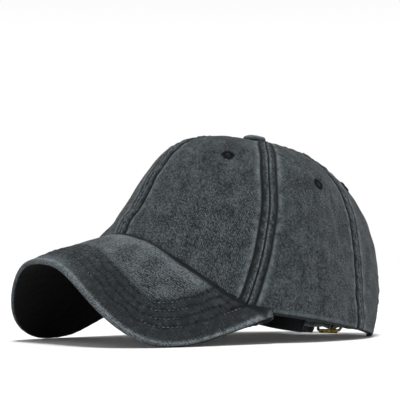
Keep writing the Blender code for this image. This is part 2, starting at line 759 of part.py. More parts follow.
def tab_object(finish):
    """The tab: cloth folded round the buckle's last bar and sewn under the arch's right binding."""
    bars, low, high, depth = buckle_sizes()
    middle = (low + high) / 2
    inner_radius = BUCKLE_WIRE_RADIUS + CLEARANCE
    outer_radius = inner_radius + TAB_CLOTH
    end = -(ARCH_HALF_WIDTH + STRAP_END_LAP)
    flat_depth = BINDING_DEPTH + CLEARANCE + TAB_CLOTH
    outline = []
    for step in range(TAB_FOLD_STEPS + 1):
        turn = math.pi * (0.5 - step / TAB_FOLD_STEPS)
        outline.append((bars[2] + outer_radius * math.cos(turn), -depth + outer_radius * math.sin(turn)))
    hem = -ARCH_HALF_WIDTH + CLEARANCE
    outline += [(hem, -flat_depth - TAB_CLOTH), (end, -flat_depth - TAB_CLOTH)]
    outline += [(end, -flat_depth + TAB_CLOTH), (hem, -flat_depth + TAB_CLOTH)]
    count = len(outline)
    bm = bmesh.new()
    levels = [middle - TAB_WIDTH / 2, middle, middle + TAB_WIDTH / 2]
    outer_loops, inner_loops = [], []
    for up in levels:
        outer_loops.append([bm.verts.new(back_point(side, up, out)) for side, out in outline])
        loop = []
        for index in range(count):
            turn = math.pi / 2 - 2 * math.pi * index / count
            side = bars[2] + inner_radius * math.cos(turn)
            loop.append(bm.verts.new(back_point(side, up, -depth + inner_radius * math.sin(turn))))
        inner_loops.append(loop)
    for loops in (outer_loops, inner_loops):
        for first, second in zip(loops, loops[1:]):
            for index in range(count):
                after = (index + 1) % count
                add_quad(bm, first[index], first[after], second[after], second[index])
    for outer, inner in ((outer_loops[0], inner_loops[0]), (outer_loops[-1], inner_loops[-1])):
        for index in range(count):
            after = (index + 1) % count
            add_quad(bm, outer[index], outer[after], inner[after], inner[index])
    return add_object("buckle_tab", bm, finish)


def centre_over_origin(objects):
    """Moves every object so that the origin is under the middle of the cap's box."""
    bpy.context.view_layer.update()
    corners = [obj.matrix_world @ Vector(corner) for obj in objects for corner in obj.bound_box]
    low = [min(corner[axis] for corner in corners) for axis in range(2)]
    high = [max(corner[axis] for corner in corners) for axis in range(2)]
    shift = Matrix.Translation((-(low[0] + high[0]) / 2, -(low[1] + high[1]) / 2, 0))
    for obj in bpy.context.scene.objects:
        obj.matrix_world = shift @ obj.matrix_world


def main():
    for obj in list(bpy.data.objects):
        bpy.data.objects.remove(obj, do_unlink=True)
    twill = material("washed cotton twill", (0.046, 0.054, 0.059), 0.9)
    facing = material("dark cotton facing", (0.012, 0.012, 0.014), 0.9)
    band = material("cotton sweatband", (0.020, 0.020, 0.022), 0.85)
    folded = material("folded twill binding", (0.066, 0.074, 0.074), 0.9)
    thread = material("embroidery thread", (0.016, 0.018, 0.020), 0.7)
    brass = material("antique brass wire", (0.33, 0.22, 0.06), 0.4, 1.0)

    pieces = []
    for left, hand in ((True, "left"), (False, "right")):
        for index, place in enumerate(("front", "side", "back")):
            panel = panel_object(f"panel_{place}_{hand}", index, left, twill)
            angle = EYELETS[place] if left else -EYELETS[place]
            hole = eyelet_place(angle)
            cut_eyelet_hole(panel, hole)
            pieces.append(panel)
            pieces.append(eyelet_object(f"eyelet_{place}_{hand}", hole, thread))
    pieces.append(bill_object("bill_top", 0.0, twill))
    pieces.append(bill_object("bill_underside", BILL_CLOTH + CLEARANCE, facing))
    pieces.append(button_object(twill))
    pieces.append(sweatband_object(band))
    pieces.append(slit_binding_object(folded))
    pieces.append(arch_binding_object(folded))
    pieces.append(strap_object(folded))
    pieces.append(buckle_object(brass))
    pieces.append(tab_object(folded))
    centre_over_origin(pieces)


main()
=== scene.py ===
"""The washed ponytail cap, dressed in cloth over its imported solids.

Metres, +Z up, the bill towards -Y and the wearer's left towards +X. Every piece is laid on the
same crown and bill surfaces as the solid that it replaces, then given its seams, puckers and wear.
"""

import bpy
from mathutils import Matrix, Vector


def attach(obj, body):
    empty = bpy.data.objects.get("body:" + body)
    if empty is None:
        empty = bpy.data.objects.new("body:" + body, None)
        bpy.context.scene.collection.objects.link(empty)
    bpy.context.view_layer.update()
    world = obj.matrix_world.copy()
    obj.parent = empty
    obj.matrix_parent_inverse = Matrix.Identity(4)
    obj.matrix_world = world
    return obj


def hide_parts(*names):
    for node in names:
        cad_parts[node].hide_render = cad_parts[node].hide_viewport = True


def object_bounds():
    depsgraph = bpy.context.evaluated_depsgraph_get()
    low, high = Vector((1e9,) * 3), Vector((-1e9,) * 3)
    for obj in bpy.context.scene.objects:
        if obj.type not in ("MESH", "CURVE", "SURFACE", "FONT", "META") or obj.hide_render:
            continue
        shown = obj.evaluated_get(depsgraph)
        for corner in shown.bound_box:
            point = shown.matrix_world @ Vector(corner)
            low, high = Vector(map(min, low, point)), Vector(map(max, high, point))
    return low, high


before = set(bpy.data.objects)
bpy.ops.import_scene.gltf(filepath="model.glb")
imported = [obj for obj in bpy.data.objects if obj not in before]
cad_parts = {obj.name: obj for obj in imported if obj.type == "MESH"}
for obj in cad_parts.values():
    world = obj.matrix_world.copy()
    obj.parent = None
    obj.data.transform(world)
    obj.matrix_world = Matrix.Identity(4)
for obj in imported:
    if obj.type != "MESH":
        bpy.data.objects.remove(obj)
CAD_BOX = [list(corner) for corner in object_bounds()]

import logging
from collections.abc import Iterator
from contextlib import contextmanager
from dataclasses import dataclass, field
from enum import Enum
from math import copysign, cos, pi, radians, sin, sqrt, tan

import bmesh
import bpy
import numpy as np
from bpy.types import Material, Mesh, Node, NodeSocket, NodeTree
from mathutils import Matrix, Vector

logging.basicConfig(level=logging.INFO, format="%(levelname)s %(message)s")
LOG = logging.getLogger("cap")

BODY = "root"
CLOTH_MAP = "cloth"
BACK = pi
PANEL_ANGLE = pi / 3

Array = np.ndarray


class Word(Enum):
    """Options whose names are used in the pieces' names."""

    @property
    def word(self) -> str:
        """The option's plain word."""
        return self.name.lower()


class Hand(Word):
    """The wearer's left or right, as the sign of X."""

    LEFT = 1
    RIGHT = -1


class Place(Word):
    """A crown panel's place, counted from the front."""

    FRONT = 0
    SIDE = 1
    BACK = 2


def smooth(low: float, high: float, value: Array) -> Array:
    """A smooth step of values, which leaves 0 at low and reaches 1 at high."""
    share = np.clip((value - low) / (high - low), 0.0, 1.0)
    return share * share * (3 - 2 * share)


def swelling(centre: float, width: float, value: Array) -> Array:
    """A rounded rise of height 1 about a centre, which reaches a width either way."""
    return np.exp(-(((value - centre) / width) ** 2))


@dataclass(frozen=True)
class Ripple:
    """Seeded, even unevenness: a sum of waves that run in random directions."""

    seed: int
    wavelength: float
    waves: int = 14
    spread: float = 0.4

    def at(self, *places: Array) -> Array:
        """The unevenness at some places.

        Args:
            places: One array for each coordinate, in metres.

        Returns:
            Values that mostly lie between -2 and 2, about 0.
        """
        draw = np.random.default_rng(self.seed)
        total = np.zeros(np.broadcast(*places).shape)
        for _ in range(self.waves):
            way = draw.normal(size=len(places))
            way /= np.linalg.norm(way)
            length = self.wavelength * (1 + self.spread * draw.uniform(-1, 1))
            run = sum(place * part for place, part in zip(places, way))
            total = total + np.sin(2 * pi * run / length + draw.uniform(0, 2 * pi))
        return total / sqrt(self.waves / 2)


def unit(vectors: Array) -> Array:
    """Vectors scaled to length 1."""
    return vectors / np.maximum(np.linalg.norm(vectors, axis=-1, keepdims=True), 1e-12)


def squared(wave: Array, power: float) -> Array:
    """A wave with its rounds squared off: its size to a power, with its own sign."""
    return np.sign(wave) * np.abs(wave) ** power


def on_line(where: Array, lengths: Array, points: Array) -> Array:
    """Places at distances along a line of points, given the lengths to those points."""
    return np.stack([np.interp(where, lengths, column) for column in points.T], axis=-1)


def run_lengths(points: Array) -> Array:
    """Distances along rows of points, whose last two axes are the place in the row and X, Y, Z."""
    steps = np.linalg.norm(np.diff(points, axis=-2), axis=-1)
    return np.concatenate([np.zeros_like(steps[..., :1]), np.cumsum(steps, axis=-1)], axis=-1)


@dataclass(frozen=True)
class CapShape:
    """The cap's two surfaces, crown and bill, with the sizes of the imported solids."""

    hem_half_width: float = 0.0793
    hem_front: float = 0.099
    hem_back: float = 0.104
    hem_front_fullness: float = 0.04
    hem_rest_setback: float = 0.012
    hem_rise_power: float = 0.9
    crown_height: float = 0.1343
    top_setback: float = 0.0188
    sway: float = 0.0104
    top_slope: float = radians(8.2)
    panel_fullness: float = 0.0012
    panel_cloth: float = 0.0016
    top_share: float = 0.985
    clearance: float = 0.0003
    leans: tuple[float, ...] = tuple(map(radians, (15, -1, 16, -6.5)))
    hem_handles: tuple[float, ...] = (0.61, 0.61, 0.565, 0.535)
    top_handles: tuple[float, ...] = (0.92, 0.71, 0.80, 0.565)
    corner_angle: float = radians(71)
    corner_height: float = 0.0198
    crest_height: float = 0.0699
    bill_reach: float = 0.056
    bill_slope: float = radians(17.8)
    bend_power: float = 2.18
    bill_flare: float = 0.001
    bill_squareness: float = 3.87
    bill_cloth: float = 0.0014
    tuck_fade: float = radians(9)
    front_bulge: float = 0.0024
    foot_flare: float = 0.0050
    foot_sink: float = 0.0004
    back_slack: float = 0.0014
    top_slack: float = 0.0005
    bill_bump: float = 0.0046
    bump_middle: float = -0.031
    bump_width: float = 0.021
    right_lift: float = 0.0045

    @property
    def shift(self) -> float:
        """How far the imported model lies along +Y from the frame of these formulas."""
        return CAD_BOX[0][1] + self.hem_front + self.bill_reach

    def section(self, values: tuple[float, ...], angle: Array) -> Array:
        """A value given at 0, 60, 120 and 180 degrees, at any angle.

        Args:
            values: The four values.
            angle: Angles round the crown.

        Returns:
            The even cosine series through the values, at each angle.
        """
        last = len(values) - 1
        ends = [0.5 if index in (0, last) else 1.0 for index in range(last + 1)]
        total = np.zeros_like(angle)
        for wave in range(last + 1):
            terms = [ends[i] * values[i] * cos(wave * pi * i / last) for i in range(last + 1)]
            total = total + ends[wave] * 2 / last * sum(terms) * np.cos(wave * angle)
        return total

    def hem_plan(self, angle: Array) -> tuple[Array, Array]:
        """The hem seen from above.

        Args:
            angle: Angles round the crown, from the front.

        Returns:
            X and Y at each angle, before the shift.
        """
        forward = np.cos(angle)
        reach = np.where(forward > 0, self.hem_front, self.hem_back)
        x = self.hem_half_width * np.sin(angle) * (1 + self.hem_front_fullness * forward)
        return x, -reach * forward

    def bill_height(self, x: Array, y: Array) -> Array:
        """Height of the bill's top face as it was cut, over places of the plan.

        Args:
            x: The places' X.
            y: Their Y, before the shift.

        Returns:
            The height over each.
        """
        corner_x, corner_y = self.hem_plan(np.array(self.corner_angle))
        slope = tan(self.bill_slope)
        fall = self.crest_height + slope * (corner_y + self.hem_front) - self.corner_height
        crest = self.crest_height + slope * (y + self.hem_front)
        return crest - fall * (np.abs(x) / corner_x) ** self.bend_power

    def lift(self, x: Array, y: Array) -> Array:
        """How much higher the washed cap holds the hem and the bill's corner at its right side."""
        right = smooth(0.030, 0.068, -x) * smooth(-0.090, -0.052, y)
        return self.right_lift * right * (1 - smooth(0.045, 0.086, y))

    def hem_height(self, angle: Array) -> Array:
        """Height of the hem: behind the bill in front, and falling to the floor behind.

        Args:
            angle: Angles round the crown.

        Returns:
            The height at each.
        """
        x, y = self.hem_plan(angle)
        turned = np.abs((angle + pi) % (2 * pi) - pi)
        tuck = (2 * self.bill_cloth + self.clearance) * smooth(
            0.0, 1.0, (self.corner_angle - turned) / self.tuck_fade
        )
        rest_y = self.hem_back - self.hem_rest_setback
        corner_y = self.hem_plan(np.array(self.corner_angle))[1]
        share = np.maximum(0.0, (rest_y - y) / (rest_y - corner_y))
        behind = self.corner_height * share**self.hem_rise_power
        return np.where(turned < self.corner_angle, self.bill_height(x, y) - tuck, behind) + self.lift(x, y)

    def crown_base(self, angle: Array, share: Array) -> Array:
        """The crown between hem (share 0) and top (share 1), without the panels' fullness.

        Args:
            angle: Angles round the crown.
            share: Shares of the way up.

        Returns:
            Points, with X, Y, Z on the last axis.
        """
        angle, share = np.broadcast_arrays(np.asarray(angle, float), np.asarray(share, float))
        x, y = self.hem_plan(angle)
        hem = self.hem_height(angle)
        rise = self.crown_height - hem
        reach = np.hypot(x, y)
        lean = self.section(self.leans, angle)
        hem_handle = self.section(self.hem_handles, angle) * rise
        top_handle = self.section(self.top_handles, angle)
        lift = top_handle * reach * tan(self.top_slope) * np.cos(angle)
        rest = 1 - share
        near, far = 3 * rest * rest * share, 3 * rest * share * share
        out = rest**3 + near * (1 - hem_handle * np.sin(lean) / reach) + far * top_handle
        z = rest**3 * hem + near * (hem + hem_handle * np.cos(lean))
        z = z + far * (self.crown_height + lift) + share**3 * self.crown_height
        level = (z - hem) / rise
        back = self.top_setback * level + 4 * self.sway * level * (1 - level)
        return np.stack([x * out, y * out + back + self.shift, z], axis=-1)

    def crown_normal(self, angle: Array, share: Array) -> Array:
        """Outward normals of the crown.

        Args:
            angle: Angles round the crown.
            share: Shares of the way up.

        Returns:
            The normals.
        """
        step = 0.002
        low, high = np.maximum(share - step, 0.0), np.minimum(share + step, 1 - step)
        along = self.crown_base(angle + step, share) - self.crown_base(angle - step, share)
        up = self.crown_base(angle, high) - self.crown_base(angle, low)
        return unit(np.cross(along, up))

    def settling(self, angle: Array, share: Array) -> Array:
        """How this soft crown has settled: fuller at its right front, slacker at its back and top.

        Args:
            angle: Angles round the crown.
            share: Shares of the way up.

        Returns:
            Distances outwards.
        """
        turned = np.degrees((angle + pi) % (2 * pi) - pi)
        front = smooth(-85, -50, turned) * (1 - smooth(15, 48, turned))
        bulge = self.front_bulge * front * smooth(0.0, 0.10, share) * (1 - smooth(0.28, 0.60, share))
        right = smooth(-68, -48, turned) * (1 - smooth(-22, -8, turned))
        flare = self.foot_flare * right * (1 - smooth(0.02, 0.13, share))
        high = smooth(0.05, 0.30, share) * (1 - 0.5 * smooth(0.6, 0.9, share))
        back = self.back_slack * smooth(80, 115, np.abs(turned)) * high
        return bulge + flare - back - self.top_slack * smooth(0.55, 0.85, share)

    def crown(self, angle: Array, share: Array, out: Array = 0.0) -> Array:
        """Points at a distance out from the crown's outer face.

        Args:
            angle: Angles round the crown.
            share: Shares of the way up.
            out: Distances outwards.

        Returns:
            Points no lower than the floor.
        """
        swell = self.panel_fullness * np.abs(np.sin(3 * angle)) * np.sin(pi * share)
        swell = swell + self.settling(angle, share)
        points = self.crown_base(angle, share) + self.crown_normal(angle, share) * (swell + out)[..., None]
        points[..., 2] = np.where(share <= 0, self.hem_height(angle), points[..., 2])
        on_bill = self.worn_bill_height(points[..., 0], points[..., 1] - self.shift) - self.foot_sink
        over_bill = (share <= 0) & (np.abs(angle) < self.corner_angle)
        points[..., 2] = np.where(over_bill, np.minimum(points[..., 2], on_bill), points[..., 2])
        points[..., 2] = np.maximum(points[..., 2], 0.0)
        return points

    def lengths_up(self, angle: float) -> tuple[Array, Array]:
        """Lengths of cloth up one section from the hem, and the share at each."""
        shares = np.linspace(0.0, self.top_share, 241)
        return run_lengths(self.crown(np.full_like(shares, angle), shares)), shares

    def on_back(self, side: Array, up: Array, out: Array = 0.0) -> Array:
        """Points of the back, given along the cloth.

        Args:
            side: Distances from the middle towards the wearer's left.
            up: Distances up from the hem.
            out: Distances outwards.

        Returns:
            The points.
        """
        side, up, out = np.broadcast_arrays(*(np.asarray(part, float) for part in (side, up, out)))
        lengths, shares = self.lengths_up(BACK)
        share = np.interp(np.maximum(up, 0.0), lengths, shares)
        return self.crown(self.back_angle(side, share), share, out)

    def back_angle(self, side: Array, share: Array) -> Array:
        """The angles that lie at distances to one side of the middle of the back.

        Args:
            side: Distances towards the wearer's left.
            share: Shares of the way up.

        Returns:
            The angle at each.
        """
        step = 0.01
        middle = np.full_like(share, BACK)
        across = self.crown_base(middle - step, share) - self.crown_base(middle + step, share)
        return BACK - side * 2 * step / np.linalg.norm(across, axis=-1)

    def bill_edge(self) -> Array:
        """The bill's outer edge in plan, from its right corner to its left one.

        Returns:
            X and Y of dense points, before the shift.
        """
        corner_x, corner_y = self.hem_plan(np.array(self.corner_angle))
        turn = pi / 2 * np.linspace(0.0, 1.0, 721) ** 2
        power = 2 / self.bill_squareness
        x = (corner_x + self.bill_flare) * np.sin(turn) ** power
        y = corner_y - (self.hem_front + self.bill_reach + corner_y) * np.maximum(np.cos(turn), 0.0) ** power
        half = np.stack([x, y], axis=-1)
        return np.concatenate([half[:0:-1] * (-1, 1), half])

    def on_bill(self, plan: Array) -> Array:
        """Points of the bill's top face over places of the plan."""
        z = self.worn_bill_height(plan[..., 0], plan[..., 1])
        return np.stack([plan[..., 0], plan[..., 1] + self.shift, np.maximum(z, 0.0)], axis=-1)

    def worn_bill_height(self, x: Array, y: Array) -> Array:
        """Height of the bill's top face with the fuller bend that wear has given its right half.

        Args:
            x: The places' X.
            y: Their Y, before the shift.

        Returns:
            The height over each.
        """
        forward = smooth(-self.hem_front + 0.004, -self.hem_front - 0.7 * self.bill_reach, y)
        bump = self.bill_bump * swelling(self.bump_middle, self.bump_width, x) * forward
        return self.bill_height(x, y) + bump + self.lift(x, y)

    def bill_normal(self, plan: Array) -> Array:
        """Upward normals of the bill's top face over places of the plan.

        Args:
            plan: X and Y, before the shift.

        Returns:
            The normals.
        """
        step, x, y = 0.0005, plan[..., 0], plan[..., 1]
        slope_x = (self.worn_bill_height(x + step, y) - self.worn_bill_height(x - step, y)) / (2 * step)
        slope_y = (self.worn_bill_height(x, y + step) - self.worn_bill_height(x, y - step)) / (2 * step)
        return unit(np.stack([-slope_x, -slope_y, np.ones_like(x)], axis=-1))

    def outside_hem(self, plan: Array, margin: float) -> Array:
        """Whether places of the plan lie in front of the crown, by a margin.

        Args:
            plan: X and Y, before the shift.
            margin: How far out they have to lie.

        Returns:
            True for those that do.
        """
        forward = np.clip(-plan[..., 1] / self.hem_front, 0.0, 1.0)
        half = self.hem_half_width * np.sqrt(1 - forward**2) * (1 + self.hem_front_fullness * forward)
        return (np.abs(plan[..., 0]) > half + margin) | (-plan[..., 1] > self.hem_front + margin)


@dataclass(frozen=True)
class BackOpenings:
    """Outlines of the arch and the ponytail slit, with distances along the cloth of the back."""

    shape: CapShape
    arch_half_width: float = 0.031
    arch_height: float = 0.052
    arch_squareness: float = 2.4
    slit_above_binding: float = 0.0018
    slit_length: float = 0.086
    slit_half_width: float = 0.0155
    binding: float = 0.008
    slit_rises: tuple[float, ...] = (0.00, 0.12, 0.28, 0.50, 0.74, 0.92, 0.985, 1.00)
    slit_half_widths: tuple[float, ...] = (0.06, 0.42, 0.80, 1.00, 0.95, 0.78, 0.48, 0.00)

    @property
    def arch_top(self) -> float:
        """Height of the outer edge of the arch's binding at its middle."""
        return self.arch_height + self.binding

    def arch(self, turn: Array, grow: Array) -> Array:
        """The arch's edge, grown outwards, from its foot (turn 0) to its top.

        Args:
            turn: Angles of the outline's own quarter.
            grow: Distances outwards.

        Returns:
            Pairs of side and up.
        """
        power = 2 / self.arch_squareness
        side = (self.arch_half_width + grow) * np.maximum(np.cos(turn), 0.0) ** power
        return np.stack([side, (self.arch_height + grow) * np.sin(turn) ** power], axis=-1)

    def slit_edge(self, run: Array) -> Array:
        """The slit's edge on one side.

        Args:
            run: Shares of the way from bottom to top.

        Returns:
            Pairs of side and up, on a curve through the outline's points.
        """
        bottom = self.arch_top + self.shape.clearance + self.slit_above_binding
        sides = np.array(self.slit_half_widths) * self.slit_half_width
        ups = bottom + np.array(self.slit_rises) * self.slit_length
        rows = np.stack([sides, ups], axis=-1)
        knots = np.concatenate([[2 * rows[0] - rows[1]], rows, [[-rows[-2][0], rows[-2][1]]]])
        place = np.clip(run, 0.0, 1.0) * (len(rows) - 1)
        index = np.minimum(place.astype(int), len(rows) - 2)
        part = (place - index)[..., None]
        a, b, c, d = (knots[index + step] for step in range(4))
        square, cube = 2 * a - 5 * b + 4 * c - d, 3 * b - a - 3 * c + d
        return 0.5 * (2 * b + (c - a) * part + square * part**2 + cube * part**3)

    def slit(self, run: Array, grow: Array) -> Array:
        """The slit's edge, grown outwards in the cloth.

        Args:
            run: Shares of the way from bottom to top.
            grow: Distances outwards.

        Returns:
            Pairs of side and up.
        """
        step = 0.01
        along = self.slit_edge(run + step) - self.slit_edge(run - step)
        away = unit(np.stack([along[..., 1], -along[..., 0]], axis=-1))
        away = np.where((run >= 1)[..., None], (0.0, 1.0), away)
        return self.slit_edge(run) + away * np.asarray(grow)[..., None]

    def panel_border(self, grow: float) -> tuple[Array, Array]:
        """A back panel's border beside the two openings, and on up the middle to the top.

        Args:
            grow: How far outside the openings' edges it runs.

        Returns:
            The sides and the rising ups along it.
        """
        arch = self.arch(np.linspace(0.0, pi / 2, 160), np.array(grow))
        slit = self.slit(np.linspace(0.0, 1.0, 200), np.array(grow))
        arch_up = np.interp(slit[:, 0], arch[::-1, 0], arch[::-1, 1])
        slit = slit[(slit[:, 1] > arch_up) | (np.arange(len(slit)) > 40)]
        arch = arch[arch[:, 0] > slit[0, 0]]
        top = self.shape.lengths_up(BACK)[0][-1]
        middle = np.stack([np.zeros(40), np.linspace(slit[-1, 1], top, 41)[1:]], axis=-1)
        path = np.concatenate([arch, slit, middle])
        return path[:, 0], np.maximum.accumulate(path[:, 1] + 1e-9 * np.arange(len(path)))


def linear(colour: str) -> tuple[float, float, float, float]:
    """An sRGB hex colour as the linear values that a shader takes.

    Args:
        colour: Six hex digits after a hash.

    Returns:
        Red, green, blue and a full alpha.
    """
    parts = [int(colour[start : start + 2], 16) / 255 for start in (1, 3, 5)]
    red, green, blue = (p / 12.92 if p <= 0.04045 else ((p + 0.055) / 1.055) ** 2.4 for p in parts)
    return red, green, blue, 1.0


def add_node(tree: NodeTree, kind: str, settings: dict, inputs: dict) -> Node:
    """Adds a node with its settings and its inputs.

    Args:
        tree: The material's tree.
        kind: The node's type name.
        settings: Properties of the node.
        inputs: By socket name or number, a value or another node's output.

    Returns:
        The node.
    """
    node = tree.nodes.new(kind)
    for name, value in settings.items():
        setattr(node, name, value)
    for name, value in inputs.items():
        if isinstance(value, NodeSocket):
            tree.links.new(value, node.inputs[name])
        else:
            node.inputs[name].default_value = value
    return node


def new_material(name: str) -> tuple[Material, NodeTree, Node]:
    """Starts a material.

    Args:
        name: The material's name.

    Returns:
        The material, its tree and its Principled shader.
    """
    material = bpy.data.materials.new(name)
    material.use_nodes = True
    return material, material.node_tree, material.node_tree.nodes["Principled BSDF"]


@dataclass(frozen=True)
class ClothFinish:
    """A woven cotton, garment dyed and washed.

    Diagonal wales or a plain weave, thick and thin threads, cloudy dye, and the piece's own
    attributes: wear, where the dye has rubbed off, and shade: dye gathered in hollows, and painted
    shade in creases, crevices and under parts. The flecks of paler cotton are about 0.3 mm wide in
    the real cloth, and drawn at 1 mm so that they show.
    """

    name: str
    body: str
    pale: str
    deep: str
    worn: str
    dark: str = "#1d2123"
    wale: float = 0.0011
    lean: float = radians(45)
    weave_contrast: float = 0.17
    speckle: float = 0.0011
    speckle_contrast: float = 1.15
    cloud: float = 0.011
    cloud_contrast: float = 0.44
    streak: float = 0.0055
    streak_contrast: float = 0.26
    relief: float = 0.00016
    sheen: float = 0.04
    roughness: float = 0.93

    def material(self) -> Material:
        """Builds the cloth's material.

        Returns:
            The material, which reads the piece's cloth map in metres and its two attributes.
        """
        material, tree, shader = new_material(self.name)
        turn = 2 * pi / self.wale
        way = (cos(self.lean) * turn, sin(self.lean) * turn, 0.0)
        cloth = add_node(tree, "ShaderNodeUVMap", {"uv_map": CLOTH_MAP}, {}).outputs[0]
        turned = add_node(tree, "ShaderNodeMapping", {}, {"Vector": cloth, "Rotation": (0, 0, -self.lean)})
        made = {
            "cloth": cloth,
            "object": add_node(tree, "ShaderNodeTexCoord", {}, {}).outputs["Object"],
            "wear": add_node(tree, "ShaderNodeAttribute", {"attribute_name": "wear"}, {}).outputs["Fac"],
            "shade": add_node(tree, "ShaderNodeAttribute", {"attribute_name": "shade"}, {}).outputs["Fac"],
        }
        stretched = (
            ("across", "DOT_PRODUCT", cloth, way, "Value"),
            ("threads", "MULTIPLY", turned.outputs[0], (1.0, 0.16, 1.0), "Vector"),
            ("drawn", "MULTIPLY", cloth, (1.0, 0.10, 1.0), "Vector"),
        )
        for name, operation, vector, factor, output in stretched:
            node = add_node(tree, "ShaderNodeVectorMath", {"operation": operation}, {0: vector, 1: factor})
            made[name] = node.outputs[output]
        lumps = (
            ("waver", "cloth", 4.5 * self.wale, 2.0),
            ("slub", "threads", 1.1 * self.wale, 1.0),
            ("fleck", "object", self.speckle, 2.0),
            ("cloud", "object", self.cloud, 4.0),
            ("streak", "drawn", self.streak, 2.0),
        )
        for name, place, size, detail in lumps:
            inputs = {"Vector": made[place], "Scale": 1 / size, "Detail": detail, "Roughness": 0.6}
            made[name] = add_node(tree, "ShaderNodeTexNoise", {}, inputs).outputs["Fac"]
        # Noise lies about 0.5, so its share of each contrast is taken off the middle tone
        contrasts = (self.speckle_contrast, self.cloud_contrast, self.streak_contrast, self.weave_contrast)
        middle = 0.5 - sum(contrasts)
        sums = (
            ("phase", "MULTIPLY_ADD", "waver", 9.0, "across"),
            ("wale", "SINE", "phase"),
            ("tone", "MULTIPLY_ADD", "fleck", 2 * self.speckle_contrast, middle),
            ("tone", "MULTIPLY_ADD", "cloud", 2 * self.cloud_contrast, "tone"),
            ("tone", "MULTIPLY_ADD", "streak", 2 * self.streak_contrast, "tone"),
            ("tone", "MULTIPLY_ADD", "slub", 2 * self.weave_contrast, "tone"),
            ("tone", "MULTIPLY_ADD", "wale", self.weave_contrast, "tone"),
            ("rubbing", "MULTIPLY_ADD", "tone", 0.5, 0.65),
            ("rubbing", "MULTIPLY", "wear", "rubbing"),
            ("dye_and_shade_cloud", "MULTIPLY_ADD", "cloud", 0.4, 0.72),
            ("height", "MULTIPLY_ADD", "fleck", 1.2, "slub"),
            ("height", "MULTIPLY_ADD", "wale", 0.3, "height"),
            ("roughness", "MULTIPLY_ADD", "wear", -0.05, self.roughness),
        )
        for name, operation, *terms in sums:
            inputs = {socket: made.get(term, term) for socket, term in enumerate(terms)}
            made[name] = add_node(tree, "ShaderNodeMath", {"operation": operation}, inputs).outputs[0]

        ramp = add_node(tree, "ShaderNodeValToRGB", {}, {"Fac": made["tone"]})
        steps = ramp.color_ramp.elements
        steps[0].position, steps[0].color = 0.05, linear(self.deep)
        steps[1].position, steps[1].color = 0.95, linear(self.pale)
        steps.new(0.5).color = linear(self.body)
        blended = {"data_type": "RGBA", "clamp_factor": True}
        inputs = {0: made["rubbing"], 6: ramp.outputs["Color"], 7: linear(self.worn)}
        dyed = add_node(tree, "ShaderNodeMix", blended, inputs)
        # The shade attribute darkens the colour towards dark, then deep: dye gathered in hollows, and
        # painted shade in creases, crevices and under parts
        for colour, low, high in ((self.dark, 0.0, 0.62), (self.deep, 0.62, 1.0)):
            inputs = {"Value": made["shade"], "From Min": low, "From Max": high}
            share = add_node(tree, "ShaderNodeMapRange", {}, inputs).outputs[0]
            inputs = {0: share, 1: made["dye_and_shade_cloud"]}
            share = add_node(tree, "ShaderNodeMath", {"operation": "MULTIPLY"}, inputs).outputs[0]
            inputs = {0: share, 6: dyed.outputs[2], 7: linear(colour)}
            dyed = add_node(tree, "ShaderNodeMix", blended, inputs)
        inputs = {"Height": made["height"], "Strength": 0.55, "Distance": self.relief}
        bump = add_node(tree, "ShaderNodeBump", {}, inputs)
        tree.links.new(dyed.outputs[2], shader.inputs["Base Color"])
        tree.links.new(made["roughness"], shader.inputs["Roughness"])
        tree.links.new(bump.outputs[0], shader.inputs["Normal"])
        shader.inputs["Sheen Weight"].default_value = self.sheen
        shader.inputs["Sheen Roughness"].default_value = 0.6
        shader.inputs["Specular IOR Level"].default_value = 0.12
        return material


@dataclass(frozen=True)
class ThreadFinish:
    """Spun cotton or polyester thread, slightly glossy along its twist."""

    name: str
    body: str
    pale: str
    twist: float = 0.0005
    roughness: float = 0.6

    def material(self) -> Material:
        """Builds the thread's material, with light flecks from thread to thread.

        Returns:
            The material.
        """
        material, tree, shader = new_material(self.name)
        place = add_node(tree, "ShaderNodeTexCoord", {}, {}).outputs["Object"]
        inputs = {"Vector": place, "Scale": 1 / (6 * self.twist), "Detail": 2.0, "Roughness": 0.7}
        fleck = add_node(tree, "ShaderNodeTexNoise", {}, inputs)
        ramp = add_node(tree, "ShaderNodeValToRGB", {}, {"Fac": fleck.outputs["Fac"]})
        steps = ramp.color_ramp.elements
        steps[0].position, steps[0].color = 0.46, linear(self.body)
        steps[1].position, steps[1].color = 0.74, linear(self.pale)
        inputs = {"Vector": place, "Scale": 1 / self.twist, "Detail": 1.0}
        twist = add_node(tree, "ShaderNodeTexNoise", {}, inputs)
        inputs = {"Height": twist.outputs["Fac"], "Strength": 0.5, "Distance": 0.0001}
        bump = add_node(tree, "ShaderNodeBump", {}, inputs)
        tree.links.new(ramp.outputs["Color"], shader.inputs["Base Color"])
        tree.links.new(bump.outputs[0], shader.inputs["Normal"])
        shader.inputs["Roughness"].default_value = self.roughness
        shader.inputs["Sheen Weight"].default_value = 0.2
        return material


